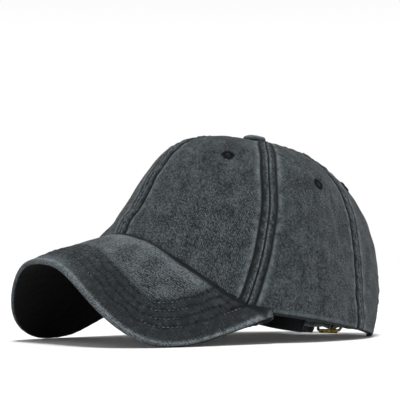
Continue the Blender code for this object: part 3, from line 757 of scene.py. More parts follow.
@dataclass(frozen=True)
class BrassFinish:
    """Antique brass wire: plated, darkened chemically, then rubbed bright on its high side."""

    name: str = "antique brass wire, oxidised and relieved"
    bright: str = "#9c8748"
    dull: str = "#514420"
    roughness: float = 0.36
    blotch: float = 0.0025
    scratch: float = 0.0004

    def material(self) -> Material:
        """Builds the brass, blotched with darker oxide, with fine rubbing marks.

        Returns:
            The material.
        """
        material, tree, shader = new_material(self.name)
        place = add_node(tree, "ShaderNodeTexCoord", {}, {}).outputs["Object"]
        inputs = {"Vector": place, "Scale": 1 / self.blotch, "Detail": 4.0, "Roughness": 0.65}
        blotch = add_node(tree, "ShaderNodeTexNoise", {}, inputs)
        ramp = add_node(tree, "ShaderNodeValToRGB", {}, {"Fac": blotch.outputs["Fac"]})
        steps = ramp.color_ramp.elements
        steps[0].position, steps[0].color = 0.35, linear(self.dull)
        steps[1].position, steps[1].color = 0.6, linear(self.bright)
        dullest, brightest = self.roughness + 0.14, self.roughness - 0.06
        inputs = {"Value": blotch.outputs["Fac"], "To Min": dullest, "To Max": brightest}
        rough = add_node(tree, "ShaderNodeMapRange", {}, inputs)
        inputs = {"Vector": place, "Scale": 1 / self.scratch, "Detail": 2.0}
        scratch = add_node(tree, "ShaderNodeTexNoise", {}, inputs)
        inputs = {"Height": scratch.outputs["Fac"], "Strength": 0.25, "Distance": 0.00005}
        bump = add_node(tree, "ShaderNodeBump", {}, inputs)
        tree.links.new(ramp.outputs["Color"], shader.inputs["Base Color"])
        tree.links.new(rough.outputs[0], shader.inputs["Roughness"])
        tree.links.new(bump.outputs[0], shader.inputs["Normal"])
        shader.inputs["Metallic"].default_value = 1.0
        return material


@dataclass
class Sheet:
    """A rectangle of cloth, made flat as a grid and then laid on a surface."""

    name: str
    across: int
    along: int
    mesh: Mesh = field(init=False)
    column: Array = field(init=False)
    row: Array = field(init=False)

    def __post_init__(self) -> None:
        """Makes the flat grid and notes each point's column and row."""
        flat = bmesh.new()
        bmesh.ops.create_grid(flat, x_segments=self.across, y_segments=self.along, size=0.5)
        self.mesh = bpy.data.meshes.new(self.name)
        flat.to_mesh(self.mesh)
        flat.free()
        places = np.empty(len(self.mesh.vertices) * 3)
        self.mesh.vertices.foreach_get("co", places)
        places = places.reshape(-1, 3) + 0.5
        self.column = np.rint(places[:, 0] * self.across).astype(int)
        self.row = np.rint(places[:, 1] * self.along).astype(int)

    @property
    def u(self) -> Array:
        """Shares across, one for each column."""
        return np.linspace(0.0, 1.0, self.across + 1)

    @property
    def v(self) -> Array:
        """Shares along, one for each row."""
        return np.linspace(0.0, 1.0, self.along + 1)

    def lay(self, points: Array, cloth: Array, **masks: Array) -> None:
        """Lays the sheet.

        Args:
            points: Points by row and column.
            cloth: Places on the cloth in metres, by row and column, for the cloth map.
            masks: Named numbers by row and column, which the finish reads.
        """
        self.mesh.vertices.foreach_set("co", points[self.row, self.column].astype(np.float32).ravel())
        corners = np.empty(len(self.mesh.loops), np.int32)
        self.mesh.loops.foreach_get("vertex_index", corners)
        flat = cloth[self.row, self.column][corners].astype(np.float32)
        layer = self.mesh.uv_layers.get(CLOTH_MAP) or self.mesh.uv_layers.new(name=CLOTH_MAP)
        layer.data.foreach_set("uv", flat.ravel())
        for name in ("wear", "shade"):
            mask = np.broadcast_to(np.asarray(masks.get(name, 0.0), float), points.shape[:2])
            layer = self.mesh.attributes.new(name, "FLOAT", "POINT")
            layer.data.foreach_set("value", np.clip(mask, 0, 1)[self.row, self.column].astype(np.float32))
        self.mesh.update()

    @contextmanager
    def worked(self) -> Iterator[bmesh.types.BMesh]:
        """Lends the sheet's mesh for work with operators, and puts it back after.

        Returns:
            The mesh as a bmesh.
        """
        work = bmesh.new()
        work.from_mesh(self.mesh)
        yield work
        work.to_mesh(self.mesh)
        work.free()

    def cut(self, centre: Array, radius: float) -> None:
        """Cuts a round hole, whose ragged edge an eyelet covers.

        Args:
            centre: The hole's middle.
            radius: Faces whose middles are nearer than this go.
        """
        middle = Vector(centre)
        with self.worked() as work:
            gone = [face for face in work.faces if (face.calc_center_median() - middle).length < radius]
            bmesh.ops.delete(work, geom=gone, context="FACES")

    def close(self) -> None:
        """Joins the edges that were laid on each other, and turns the closed form's faces outwards."""
        with self.worked() as work:
            bmesh.ops.remove_doubles(work, verts=work.verts, dist=2e-6)
            bmesh.ops.recalc_face_normals(work, faces=work.faces)

    def turn_over(self) -> None:
        """Turns the faces of an open sheet to its other side."""
        with self.worked() as work:
            bmesh.ops.reverse_faces(work, faces=work.faces)


@dataclass
class Maker:
    """Turns finished meshes into pieces that ride on the cap and stand for its solids."""

    finishes: dict[str, Material]

    def piece(
        self,
        mesh: Mesh,
        slot: str,
        replaces: tuple[str, ...] = (),
        cloth: float = 0.0,
        finish: str = "",
        offset: float = -1.0,
        lining: str = "",
    ) -> None:
        """Makes a piece.

        Args:
            mesh: Its finished mesh.
            slot: The record's material slot.
            replaces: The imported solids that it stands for.
            cloth: The wall's thickness, for an open sheet.
            finish: The finish's name, if it isn't the slot's.
            offset: Where the wall lies: -1 inside the sheet, 0 about it.
            lining: The finish of the wall's inner face, if it differs.
        """
        mesh.materials.append(self.finishes[finish or slot])
        mesh.shade_smooth()
        made = bpy.data.objects.new(mesh.name, mesh)
        bpy.context.scene.collection.objects.link(made)
        if cloth:
            wall = made.modifiers.new("cloth", "SOLIDIFY")
            wall.thickness = cloth
            wall.offset = offset
            wall.use_even_offset = False
            if lining:
                mesh.materials.append(self.finishes[lining])
                wall.material_offset = 1
        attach(made, BODY)
        if replaces:
            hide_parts(*replaces)
        LOG.info("%s: %d faces", made.name, len(mesh.polygons))


@dataclass
class Stitches:
    """Rows of sewing thread: each stitch is a small, slightly sunk lozenge of thread.

    Real thread is about 0.3 mm thick, and it is drawn up to twice that so that it shows.
    """

    name: str
    length: float = 0.0021
    radius: float = 0.00024
    work: bmesh.types.BMesh = field(default_factory=bmesh.new)

    def sew(self, line: Array, normals: Array, pitch: float, seed: int = 0) -> None:
        """Sews along a line.

        Args:
            line: Points along it.
            normals: The cloth's outward normal at each.
            pitch: Distance from stitch to stitch.
            seed: Seed of the small unevenness.
        """
        lengths = run_lengths(line)
        draw = np.random.default_rng(seed)
        middles = np.arange(0.5 * pitch, lengths[-1] - 0.4 * pitch, pitch)
        for middle in middles:
            ends = middle + np.array((-0.5, 0.5)) * self.length * draw.uniform(0.85, 1.1)
            start, end = on_line(ends, lengths, line)
            up = unit(on_line(middle, lengths, normals))
            lift = draw.uniform(-0.1, 0.1)
            along = unit(end - start)
            side = unit(np.cross(up, along))
            rows = [along * np.linalg.norm(end - start) / 2, side * self.radius, up * self.radius * 0.8]
            turn = Matrix([list(row) for row in np.array(rows).T]).to_4x4()
            place = Matrix.Translation(Vector((start + end) / 2 + up * self.radius * lift)) @ turn
            bmesh.ops.create_uvsphere(self.work, u_segments=6, v_segments=4, radius=1.0, matrix=place)

    def mesh(self) -> Mesh:
        """Ends the sewing and makes the stitches one mesh.

        Returns:
            The mesh.
        """
        bmesh.ops.recalc_face_normals(self.work, faces=self.work.faces)
        made = bpy.data.meshes.new(self.name)
        self.work.to_mesh(made)
        self.work.free()
        return made


@dataclass(frozen=True)
class SeamBand:
    """A felled seam, laid flat and stitched down at both borders.

    Two raised borders meet at a groove and slope away from it. Each ends in a valley, and the
    cloth beside it puffs up and wears pale. All sizes are distances from the groove.
    """

    lip: float = 0.0011
    lip_rise: float = 0.0010
    border_rise: float = 0.00045
    border: float = 0.0044
    valley: float = 0.0051
    valley_width: float = 0.0008
    valley_depth: float = 0.00060
    puff: float = 0.0076
    puff_width: float = 0.0024
    puff_rise: float = 0.00036
    reach: float = 0.0125
    stitch: float = 0.0018
    pucker: float = 0.0050
    pitch: float = 0.0029

    def relief(self, away: Array, run: Array, seed: int, way: int) -> Array:
        """How far the cloth stands out beside the groove.

        Args:
            away: Distances from the groove.
            run: Distances along it.
            seed: The seam's seed.
            way: 1 or -1 for the side of the groove.

        Returns:
            Distances outwards.
        """
        slow = Ripple(seed + 3, 0.019).at(run + 0 * away)
        fold = Ripple(seed + way, self.pucker).at(run + 0.5 * away, 0.35 * away)
        fine = Ripple(seed + 5 + way, 0.5 * self.pucker).at(run - 0.4 * away, 0.5 * away)
        slope = self.lip_rise + (self.border_rise - self.lip_rise) * smooth(self.lip, self.border, away)
        ridge = smooth(0.0001, 0.0009, away) * (1 - smooth(self.border - 0.0006, self.valley, away))
        out = slope * ridge * (1 + 0.08 * slow + 0.20 * fold + 0.14 * fine)
        out -= 0.00018 * swelling(self.stitch, 0.0005, away) * (1 + 0.5 * fine)
        out -= self.valley_depth * swelling(self.valley, self.valley_width, away) * (1 + 0.25 * fold)
        puff = swelling(self.puff, self.puff_width, away) * smooth(self.valley, self.valley + 0.001, away)
        out += self.puff_rise * puff * (1 + 0.18 * slow + 0.42 * fold)
        return out - 0.0005 * swelling(0.0, 0.0004, away)

    def colouring(self, away: Array, run: Array, seed: int) -> tuple[Array, Array]:
        """How pale the cloth has rubbed, and how dark the seam's hollows are: gathered dye and painted
        shade.

        Args:
            away: Distances from the groove.
            run: Distances along it.
            seed: The seam's seed.

        Returns:
            The wear and the shade at each place.
        """
        blotch = Ripple(seed + 11, 0.010).at(run, away)
        pale = swelling(self.puff - 0.0010, 0.0022, away) * smooth(self.valley, self.valley + 0.0007, away)
        pale = 0.52 * pale * np.clip(1 + 0.35 * blotch, 0.0, 2.0)
        broken = np.clip(0.75 + 0.45 * Ripple(seed + 13, 0.0042).at(run, away), 0.0, 1.4)
        ridge = smooth(0.0016, 0.0024, away) * (1 - smooth(self.border - 0.0006, self.border, away))
        specks = np.clip(Ripple(seed + 19, 0.0030).at(run, 0.8 * away) - 0.55, 0.0, 1.0)
        wear = pale + 0.62 * swelling(self.lip, 0.00045, away) * broken + 0.55 * ridge * specks
        stain = Ripple(seed + 17, 0.0065).at(run, away)
        ridge = smooth(0.0019, 0.0031, away) * (1 - smooth(self.border, self.valley, away))
        # The valley and the groove are darkened by painted shade and gathered dye; the band's ridges get a
        # darker dye tone
        dark = swelling(self.valley, 0.0009, away) + swelling(0.0, 0.0005, away)
        middle = 0.12 * smooth(0.0012, 0.0018, away) * (1 - smooth(self.border, self.valley, away))
        return wear, dark + middle + 0.36 * ridge * np.clip(1 + 0.55 * stain, 0.0, 1.8)


@dataclass(frozen=True)
class Seam:
    """One seam from hem to button, which wanders a little to either side of its angle."""

    angle: float
    seed: int
    wander: float
    wavelength: float
    kink: float = 0.0
    kink_at: float = 0.02
    sag: float = 0.0
    sag_end: float = 0.95
    top_pull: float = 0.0

    def drift(self, up: Array, top: float) -> Array:
        """How far the groove lies towards larger angles, at heights along the cloth.

        Args:
            up: Distances up from the hem.
            top: The seam's whole length.

        Returns:
            Distances to the side.
        """
        ends = smooth(0.0, 0.012, up) * (1 - smooth(0.75 * top, 0.97 * top, up))
        bend = self.kink * (up - self.kink_at) / 0.008 * swelling(self.kink_at, 0.011, up)
        straight = smooth((self.sag_end - 0.35) * top, self.sag_end * top, up)
        sag = self.sag * smooth(0.0, 0.2 * top, up) * (1 - straight)
        pull = self.top_pull * swelling(0.86 * top, 0.16 * top, up)
        return ends * (self.wander * Ripple(self.seed, self.wavelength).at(up) + bend + sag) + pull


# Counted from the front seam towards the wearer's left, and the right ones with a minus
SEAMS = {
    0: Seam(0.0, 100, 0.00045, 0.030, kink=0.0010, kink_at=0.018, sag=-0.0024),
    1: Seam(PANEL_ANGLE, 200, 0.00030, 0.040, top_pull=0.0034),
    2: Seam(2 * PANEL_ANGLE, 300, 0.00030, 0.036, kink=0.0009, kink_at=0.026, sag=-0.0040, sag_end=0.62),
    3: Seam(BACK, 400, 0.00020, 0.030),
    -1: Seam(-PANEL_ANGLE, 500, 0.00030, 0.040),
    -2: Seam(-2 * PANEL_ANGLE, 600, 0.00035, 0.036, kink=-0.0007, kink_at=0.030),
    -3: Seam(-BACK, 400, 0.00020, 0.030),
}


@dataclass
class CrownPanels:
    """The six panels of the crown, with the seams between them and a hole for each eyelet."""

    shape: CapShape
    openings: BackOpenings
    band: SeamBand
    maker: Maker
    stitches: Stitches
    rows: int = 168
    near_step: float = 0.0003
    near_end: float = 0.0069
    far_columns: int = 10
    middle_columns: int = 40
    most_of_width: float = 0.42
    taper_rows: int = 9
    tuck: float = 0.0074
    hole: float = 0.0026
    seam_gap: float = 0.00004
    beyond: float = 0.08
    above_floor: float = 0.00015
    eyelets_from_top: tuple[float, ...] = (0.0643, 0.0665, 0.0665)
    eyelet_angles: tuple[float, ...] = tuple(map(radians, (36.5, 91, 137)))

    def eyelet(self, place: Place, hand: Hand) -> tuple[Array, Array]:
        """Where a panel's eyelet sits.

        Args:
            place: The panel's place.
            hand: Its side.

        Returns:
            The middle, on the outer face, and the outward normal.
        """
        angle = hand.value * self.eyelet_angles[place.value]
        lengths, shares = self.shape.lengths_up(angle)
        share = np.array(np.interp(lengths[-1] - self.eyelets_from_top[place.value], lengths, shares))
        at = np.array(angle)
        return self.shape.crown(at, share), self.shape.crown_normal(at, share)

    def row_places(self, place: Place) -> tuple[Array, Array]:
        """How high a panel's rows lie.

        Args:
            place: The panel's place.

        Returns:
            The share of each row, and how far from the middle of the back its border lies.
        """
        share_of_row = np.linspace(0.0, 1.0, self.rows + 1)
        middle = BACK if place is Place.BACK else (place.value + 0.5) * PANEL_ANGLE
        lengths, shares = self.shape.lengths_up(middle)
        if place is not Place.BACK:
            return np.interp(share_of_row * lengths[-1], lengths, shares), np.zeros_like(share_of_row)
        sides, ups = self.openings.panel_border(self.tuck)
        path = np.stack([sides, ups], axis=-1)
        run = run_lengths(path)
        side, up = on_line(share_of_row * run[-1], run, path).T
        return np.interp(up, lengths, shares), side

    def eased(self, share: Array) -> Array:
        """Turns each sudden step in shares by row into a gentle taper.

        Args:
            share: Shares by row.

        Returns:
            The eased shares, never above those given.
        """
        reach = self.taper_rows
        padded = np.pad(share, 2 * reach, mode="edge")
        lowest = np.min(np.lib.stride_tricks.sliding_window_view(padded, 2 * reach + 1), axis=-1)
        return np.mean(np.lib.stride_tricks.sliding_window_view(lowest, 2 * reach + 1), axis=-1)

    def panel(self, place: Place, hand: Hand) -> None:
        """Builds one panel.

        Args:
            place: The panel's place.
            hand: The panel's side.
        """
        shape, band = self.shape, self.band
        first, second = sorted((hand.value * place.value, hand.value * (place.value + 1)))
        low, high = SEAMS[first], SEAMS[second]
        share, border = self.row_places(place)
        share = np.minimum(share, shape.top_share)
        angles = np.linspace(low.angle - self.beyond, high.angle + self.beyond, 49)
        lengths = run_lengths(shape.crown_base(angles[None, :], share[:, None]))
        edges, runs = [], []
        for seam in (low, high):
            seam_lengths, seam_shares = shape.lengths_up(seam.angle)
            up = np.interp(share, seam_shares, seam_lengths)
            drift = seam.drift(up, seam_lengths[-1])
            at = np.array([np.interp(seam.angle, angles, row) for row in lengths])
            if place is Place.BACK and abs(seam.angle) > 3:
                drift = -copysign(1.0, seam.angle) * border
            edges.append(at + drift)
            runs.append(up)
        left, right = edges[0] + self.seam_gap, edges[1] - self.seam_gap
        width = right - left
        near = np.arange(0.0, self.near_end, self.near_step)
        near = np.concatenate([near, np.linspace(self.near_end, self.band.reach, self.far_columns)])
        shrink = self.eased(np.minimum(1.0, self.most_of_width * width / band.reach))
        middle = np.linspace(0.0, 1.0, self.middle_columns + 2)[1:-1]
        across = np.concatenate(
            [
                shrink[:, None] * near,
                (shrink * band.reach)[:, None] + (width - 2 * shrink * band.reach)[:, None] * middle,
                width[:, None] - shrink[:, None] * near[::-1],
            ],
            axis=1,
        )
        angle = np.array([np.interp(left[r] + across[r], lengths[r], angles) for r in range(len(share))])
        from_low = across / shrink[:, None]
        from_high = (width[:, None] - across) / shrink[:, None]

        sheet = Sheet(f"panel_{place.word}_{hand.word}_cloth", across.shape[1] - 1, self.rows)
        grid_share = np.broadcast_to(share[:, None], angle.shape)
        flat = shape.crown(angle, grid_share)
        seed = 1000 + 37 * first + 11
        out = self.unevenness(flat, np.minimum(from_low, from_high), seed, place)
        wear, shade = np.zeros_like(out), np.zeros_like(out)
        for seam, away, run, way in ((low, from_low, runs[0], 1), (high, from_high, runs[1], -1)):
            beside = np.ones_like(away)
            if place is Place.BACK and abs(seam.angle) > 3:
                beside = beside * (border[:, None] < 0.0005)
                puckers = Ripple(seed + 9, 0.0058).at(run[:, None] + 0.0 * away)
                edge = swelling(0.0022, 0.0028, away) * (1 - beside)
                out += 0.00022 * puckers * edge
                wear += 0.42 * edge * (1 + 0.4 * puckers)
                # Painted shadow line along the panel's edge, where it runs in under the binding
                shade += 0.8 * swelling(0.0, 0.0011, away) * (1 - beside)
            run = np.broadcast_to(run[:, None], away.shape)
            out += beside * band.relief(away, run, seam.seed, way)
            rubbed, stained = band.colouring(away, run, seam.seed)
            wear += beside * rubbed
            shade += beside * stained
        up_row = np.interp(share, *reversed(shape.lengths_up((low.angle + high.angle) / 2)))[:, None]
        hem_round = np.clip(1 - up_row / 0.0012, 0.0, 1.0)
        out -= 0.0005 * hem_round**2
        front = np.abs(angle) < shape.corner_angle
        out -= np.where(front, 0.0011 * (1 - smooth(0.0005, 0.0060, up_row + 0 * angle)), 0.0)
        wear += 0.4 * swelling(0.0012, 0.0012, up_row) * (~front)
        # Painted shade in the crevice at the crown's foot above the bill, fading out towards the bill's
        # corners
        over_bill = 1 - smooth(shape.corner_angle - 0.10, shape.corner_angle - 0.01, np.abs(angle))
        shade += 1.2 * over_bill * (1 - smooth(0.0008, 0.0040, up_row + 0 * angle))
        points = flat + shape.crown_normal(angle, grid_share) * out[..., None]
        points[..., 2] = np.maximum(points[..., 2], self.above_floor)
        sideways = left[:, None] + across - 0.5 * (left + right)[:, None]
        cloth = np.stack([sideways, np.broadcast_to(up_row, angle.shape)], axis=-1)
        sheet.lay(points, cloth, wear=wear, shade=shade)
        middle_point, _ = self.eyelet(place, hand)
        sheet.cut(middle_point, self.hole)
        name = f"panel_{place.word}_{hand.word}"
        self.maker.piece(sheet.mesh, "twill", (name,), cloth=shape.panel_cloth, lining="lining")

    def unevenness(self, flat: Array, away: Array, seed: int, place: Place) -> Array:
        """The panel's own slow dents and faint creases, which fade out at its seams.

        Args:
            flat: The even surface's points.
            away: Distances to the nearer seam.
            seed: The panel's seed.
            place: The panel's place.

        Returns:
            Distances outwards.
        """
        x, y, z = (flat[..., axis] for axis in range(3))
        inside = smooth(0.004, 0.018, away)
        for hand in Hand:
            from_eyelet = np.linalg.norm(flat - self.eyelet(place, hand)[0], axis=-1)
            inside = inside * smooth(0.004, 0.012, from_eyelet)
        slow = 0.00050 * Ripple(seed, 0.052).at(x, y, z)
        dents = 0.00013 * Ripple(seed + 1, 0.017).at(x, y, z)
        upright = Ripple(seed + 2, 0.011).at(x, y, 0.22 * z)
        creases = (0.00016 if place is Place.SIDE else 0.00007) * upright
        return inside * (slow + dents + creases)

    def seam_lines(self) -> None:
        """Sews a row of stitches on both sides of each seam's groove."""
        shape = self.shape
        for number in (0, 1, 2, -1, -2):
            seam = SEAMS[number]
            lengths, shares = shape.lengths_up(seam.angle)
            up = np.linspace(0.004, lengths[-1] - 0.016, 260)
            share = np.interp(up, lengths, shares)
            drift = seam.drift(up, lengths[-1])
            step = 0.01
            middle = np.full_like(share, seam.angle)
            beside = shape.crown_base(middle + step, share) - shape.crown_base(middle - step, share)
            width = np.linalg.norm(beside, axis=-1)
            for way in (-1, 1):
                angle = middle + (drift + way * self.band.stitch) * 2 * step / width
                out = self.band.relief(np.full_like(up, self.band.stitch), up, seam.seed, way)
                line = shape.crown(angle, share, out)
                self.stitches.sew(line, shape.crown_normal(angle, share), self.band.pitch, seam.seed + way)


@dataclass
class Eyelets:
    """Six embroidered eyelets: thread wrapped round and round through a punched hole."""

    panels: CrownPanels
    outer: float = 0.0043
    inner: float = 0.0008
    thickness: float = 0.0024
    wraps: int = 30
    sunk: float = 0.32

    def build(self) -> None:
        """Builds all six."""
        for hand in Hand:
            for place in Place:
                self.eyelet(place, hand)

    def eyelet(self, place: Place, hand: Hand) -> None:
        """Builds one ring of wrapped thread, whose rim stands proud of the cloth.

        Args:
            place: The panel's place.
            hand: Its side.
        """
        sheet = Sheet(f"eyelet_{place.word}_{hand.word}_thread", 6 * self.wraps, 20)
        turn = 2 * pi * sheet.u[None, :]
        roll = 2 * pi * sheet.v[:, None]
        seed = 700 + 10 * place.value + hand.value
        uneven = Ripple(seed, 1.1).at(turn + 0 * roll)
        ridge = np.cos(self.wraps * turn + 0.6 * np.sin(roll) + 0 * roll)
        reach = (self.outer - self.inner) / 2
        half = self.thickness / 2
        grain = 1 + 0.07 * ridge
        across = (self.outer + self.inner) / 2 - reach * np.cos(roll) * grain
        across = across + 0.00018 * uneven * (across - self.inner) / (self.outer - self.inner)
        height = half * np.sin(roll) * grain + 0.00012 * ridge * np.maximum(np.sin(roll), 0.0)
        middle, normal = self.panels.eyelet(place, hand)
        side = unit(np.cross((0.0, 0.0, 1.0), normal))
        up = np.cross(normal, side)
        plane = side * np.cos(turn)[..., None] + up * np.sin(turn)[..., None]
        seat = height - self.sunk * self.panels.shape.panel_cloth
        points = middle + plane * across[..., None] + normal * seat[..., None]
        cloth = np.stack([turn * self.outer + 0 * roll, roll * reach + 0 * turn], axis=-1)
        inside = 1 - smooth(self.inner, self.inner + 0.0008, across)
        sheet.lay(points, cloth, wear=0.45 * inside * (height > -0.0006))
        sheet.close()
        name = f"eyelet_{place.word}_{hand.word}"
        self.panels.maker.piece(sheet.mesh, "thread", (name,), finish="eyelet thread")


@dataclass
class Button:
    """The button: a metal shell covered in the crown's cloth, which is gathered under its rim."""

    shape: CapShape
    maker: Maker
    radius: float = 0.008
    height: float = 0.0050
    seat: float = -0.0008
    forward: float = 0.0030
    pleats: int = 18

    def build(self) -> None:
        """Builds the button: a sheet laid round its profile and gathered under the rim."""
        low, high = self.seat, self.seat + self.height
        sheet = Sheet("crown_button_cloth", 108, 34)
        turn = 2 * pi * sheet.u[None, :]
        run = sheet.v[:, None]
        rounding = pi * (run - 0.5)
        radius = self.radius * np.maximum(np.cos(rounding), 0.0) ** 0.56
        level = low + self.height / 2 + self.height / 2 * squared(np.sin(rounding), 0.85)
        under = 1 - smooth(0.25, 0.62, run)
        gather = np.cos(self.pleats * turn + 1.5 * np.sin(3 * turn)) * under
        uneven = Ripple(31, 0.006).at(radius * np.cos(turn), radius * np.sin(turn), level + 0 * turn)
        radius = radius * (1 + 0.022 * gather) + 0.00010 * uneven
        up = Vector((0.0, sin(self.shape.top_slope), cos(self.shape.top_slope)))
        top = Vector((0.0, self.shape.top_setback + self.shape.shift, self.shape.crown_height))
        top += Vector((0.0, -cos(self.shape.top_slope), sin(self.shape.top_slope))) * self.forward
        place = np.array(Matrix.Translation(top) @ up.to_track_quat("Z", "Y").to_matrix().to_4x4())
        local = np.stack([radius * np.cos(turn), radius * np.sin(turn), level + 0.00012 * uneven], axis=-1)
        points = local @ place[:3, :3].T + place[:3, 3]
        cloth = local[..., :2] * (1 + 0.4 * (level[..., None] < high - 0.001))
        rim = swelling(high - 0.0012, 0.0011, level + 0 * turn)
        # Painted shade under the button's rim, varying with the gathers
        shade = 0.22 * under * (0.7 - 0.3 * gather)
        sheet.lay(points, cloth, wear=0.46 + 0.34 * rim + 0.22 * uneven, shade=shade)
        sheet.close()
        self.maker.piece(sheet.mesh, "twill", ("crown_button",))


@dataclass
class Bill:
    """The bill: two layers of cloth over a hidden stiffener, quilted by rows of stitches."""

    shape: CapShape
    maker: Maker
    stitches: Stitches
    columns: int = 300
    rows: int = 128
    roll_rows: int = 12
    roll: float = 0.00155
    edge_rows: tuple[float, ...] = (0.0135, 0.0192, 0.0249, 0.0306)
    pitch: float = 0.0030
    sewn_in: float = 0.0016
    roll_angle: float = radians(155)
    short: float = 0.02
    facing_inset: float = 0.0009
    layer: float = 0.0010
    above_floor: float = 0.0002
    thread_sink: float = 0.00016
    edge: Array = field(init=False)

    def __post_init__(self) -> None:
        """Notes the outer edge."""
        self.edge = self.shape.bill_edge()

    def plan(self, across: Array, away: Array) -> Array:
        """Places of the bill's plan.

        Args:
            across: From -1 at the right corner to 1 at the left one.
            away: From 0, sewn in under the crown's foot, to 1 on the outer edge.

        Returns:
            X and Y, before the shift.
        """
        angle = across * self.shape.corner_angle
        level = np.zeros_like(angle)
        inside = self.shape.clearance - self.sewn_in
        inner = self.shape.crown_base(angle, level) + self.shape.crown_normal(angle, level) * inside
        inner = inner[..., :2] - (0.0, self.shape.shift)
        run = run_lengths(self.edge)
        outer = on_line((across + 1) / 2 * run[-1], run, self.edge)
        return inner + (outer - inner) * away[..., None]

    def from_edge(self, points: Array) -> tuple[Array, Array]:
        """Measures points from the outer edge.

        Args:
            points: Points of the bill.

        Returns:
            Their distances from the outer edge, and along it to the nearest place.
        """
        edge = self.shape.on_bill(self.edge)
        lengths = run_lengths(edge)
        flat = points.reshape(-1, 3)
        best = np.full(len(flat), np.inf)
        along = np.zeros(len(flat))
        for index in range(0, len(edge), 2):
            far = np.linalg.norm(flat - edge[index], axis=-1)
            nearer = far < best
            best[nearer] = far[nearer]
            along[nearer] = lengths[index]
        return best.reshape(points.shape[:-1]), along.reshape(points.shape[:-1])

    def quilting(self, away: Array, along: Array) -> tuple[Array, Array, Array]:
        """The relief, wear and shade that the rows of stitches give the top.

        Args:
            away: Distances from the outer edge.
            along: Distances along it.

        Returns:
            Distances outwards, wear and shade.
        """
        zone = smooth(0.0095, 0.0125, away) * (1 - smooth(0.0315, 0.0350, away))
        outside = 1 - smooth(0.0285, 0.0372, away)
        pucker = Ripple(41, 0.0040).at(along + 0.3 * away, 0.30 * away)
        pulls = Ripple(42, 0.0100).at(along, 0.5 * away)
        mottle = Ripple(43, 0.0080).at(along, away)
        out = zone * (0.00014 * pucker + 0.00012 * pulls)
        shade = outside * np.clip(0.56 + 0.06 * mottle + 0.05 * zone * pulls, 0.0, 0.70)
        wear = np.zeros_like(away)
        for number, row in enumerate(self.edge_rows):
            line = row + 0.00045 * Ripple(50 + number, 0.022).at(along)
            beside = away - line
            beat = np.cos(2 * pi * (along / self.pitch + 0.3 * number))
            holes = np.clip(0.5 + 0.5 * beat, 0, 1) ** 1.5
            uneven = np.clip(0.8 + 0.4 * Ripple(55 + number, 0.006).at(along), 0.2, 1.5)
            out -= (0.00014 + 0.00040 * holes * uneven) * swelling(0.0, 0.00080, beside)
            out += 0.00008 * swelling(0.0028, 0.0014, np.abs(beside))
            # Painted shade in each row's needle holes and along its sunk line
            shade = shade + swelling(0.0, 0.00095, beside) * (0.04 + 0.95 * holes * uneven)
            wear = wear + 0.16 * swelling(0.0018, 0.0009, np.abs(beside)) * np.maximum(pucker, 0.0)
        return out, wear, shade

    def drawn_in(self, plan: Array, away: Array, pull: float) -> Array:
        """Draws a plan in from the outer edge, by less where the bill is short.

        Args:
            plan: X and Y, by row from the outer edge and by column.
            away: Each place's share of the way out.
            pull: How far the outer edge comes in.

        Returns:
            The plan, drawn in.
        """
        span = plan[0] - plan[-1]
        pulls = pull * np.minimum(1.0, np.linalg.norm(span, axis=-1) / self.short)
        return plan - unit(span)[None] * pulls[None, :, None] * away[..., None]

    def washed(
        self, points: Array, across: Array, near: Array, along: Array, inner: Array
    ) -> tuple[Array, Array, Array]:
        """The relief, wear and shade of the whole top face.

        Args:
            points: The even face's points.
            across: From -1 at the right corner to 1 at the left one.
            near: Distances from the outer edge.
            along: Distances along it.
            inner: Distances in plan from the inner edge.

        Returns:
            Distances outwards, wear and shade.
        """
        out, wear, shade = self.quilting(near, along)
        x, y, z = (points[..., axis] for axis in range(3))
        free = smooth(0.003, 0.012, near)
        out += free * (0.00030 * Ripple(61, 0.040).at(x, y, z) + 0.00010 * Ripple(62, 0.014).at(x, y, z))
        out -= 0.00016 * swelling(0.0011, 0.0004, near)
        field_wear = smooth(0.030, 0.037, near) * (0.24 + 0.12 * Ripple(63, 0.018).at(x, y, z))
        field_wear = field_wear * (1 - 0.55 * smooth(0.020, 0.060, np.abs(x)))
        rim = 1 - smooth(0.0026, 0.0056, near)
        crest = 1 - smooth(0.012, 0.045, np.abs(x))
        worn = 0.62 * swelling(0.0023, 0.0015, near) + 0.30 * swelling(0.0, 0.0007, near)
        wear = wear + field_wear + worn * np.clip(1 + 0.25 * Ripple(64, 0.009).at(along), 0, 1.5)
        wear = wear + 0.34 * crest * swelling(0.0050, 0.0035, near) + 0.26 * swelling(0.005, 0.003, inner)
        shade = shade * (1 - rim) * (1 - 0.5 * crest * (1 - smooth(0.008, 0.014, near))) * (1 - 0.42 * crest)
        # Painted shade in the crevice where the bill runs in under the crown, faded at the corners, and
        # along the shallow channel 1.1 mm in from the outer edge
        sewn = (1 - smooth(0.0014, 0.0031, inner)) * (1 - 0.8 * smooth(0.90, 0.98, np.abs(across)))
        return out, wear, shade + 0.30 * swelling(0.0011, 0.0004, near) + sewn

    def top(self) -> None:
        """Builds the top cloth, rolled over the bill's outer edge."""
        shape = self.shape
        sheet = Sheet("bill_top_cloth", self.columns, self.rows + self.roll_rows)
        across = np.broadcast_to(2 * sheet.u - 1, (self.rows + 1, self.columns + 1))
        away = np.linspace(1.0, 0.0, self.rows + 1)[:, None] + 0 * across
        plan = self.plan(across, away)
        outward = unit(plan[0] - plan[-1])
        plan = self.drawn_in(plan, away, self.roll)
        points, normals = shape.on_bill(plan), shape.bill_normal(plan)
        near, along = self.from_edge(points)
        near = np.maximum(near - 0.0002, 0.0)
        inner = np.linalg.norm(plan - plan[-1][None], axis=-1)
        out, wear, shade = self.washed(points, across, near, along, inner)
        points = points + normals * (out * smooth(0.0, 0.0012, inner))[..., None]

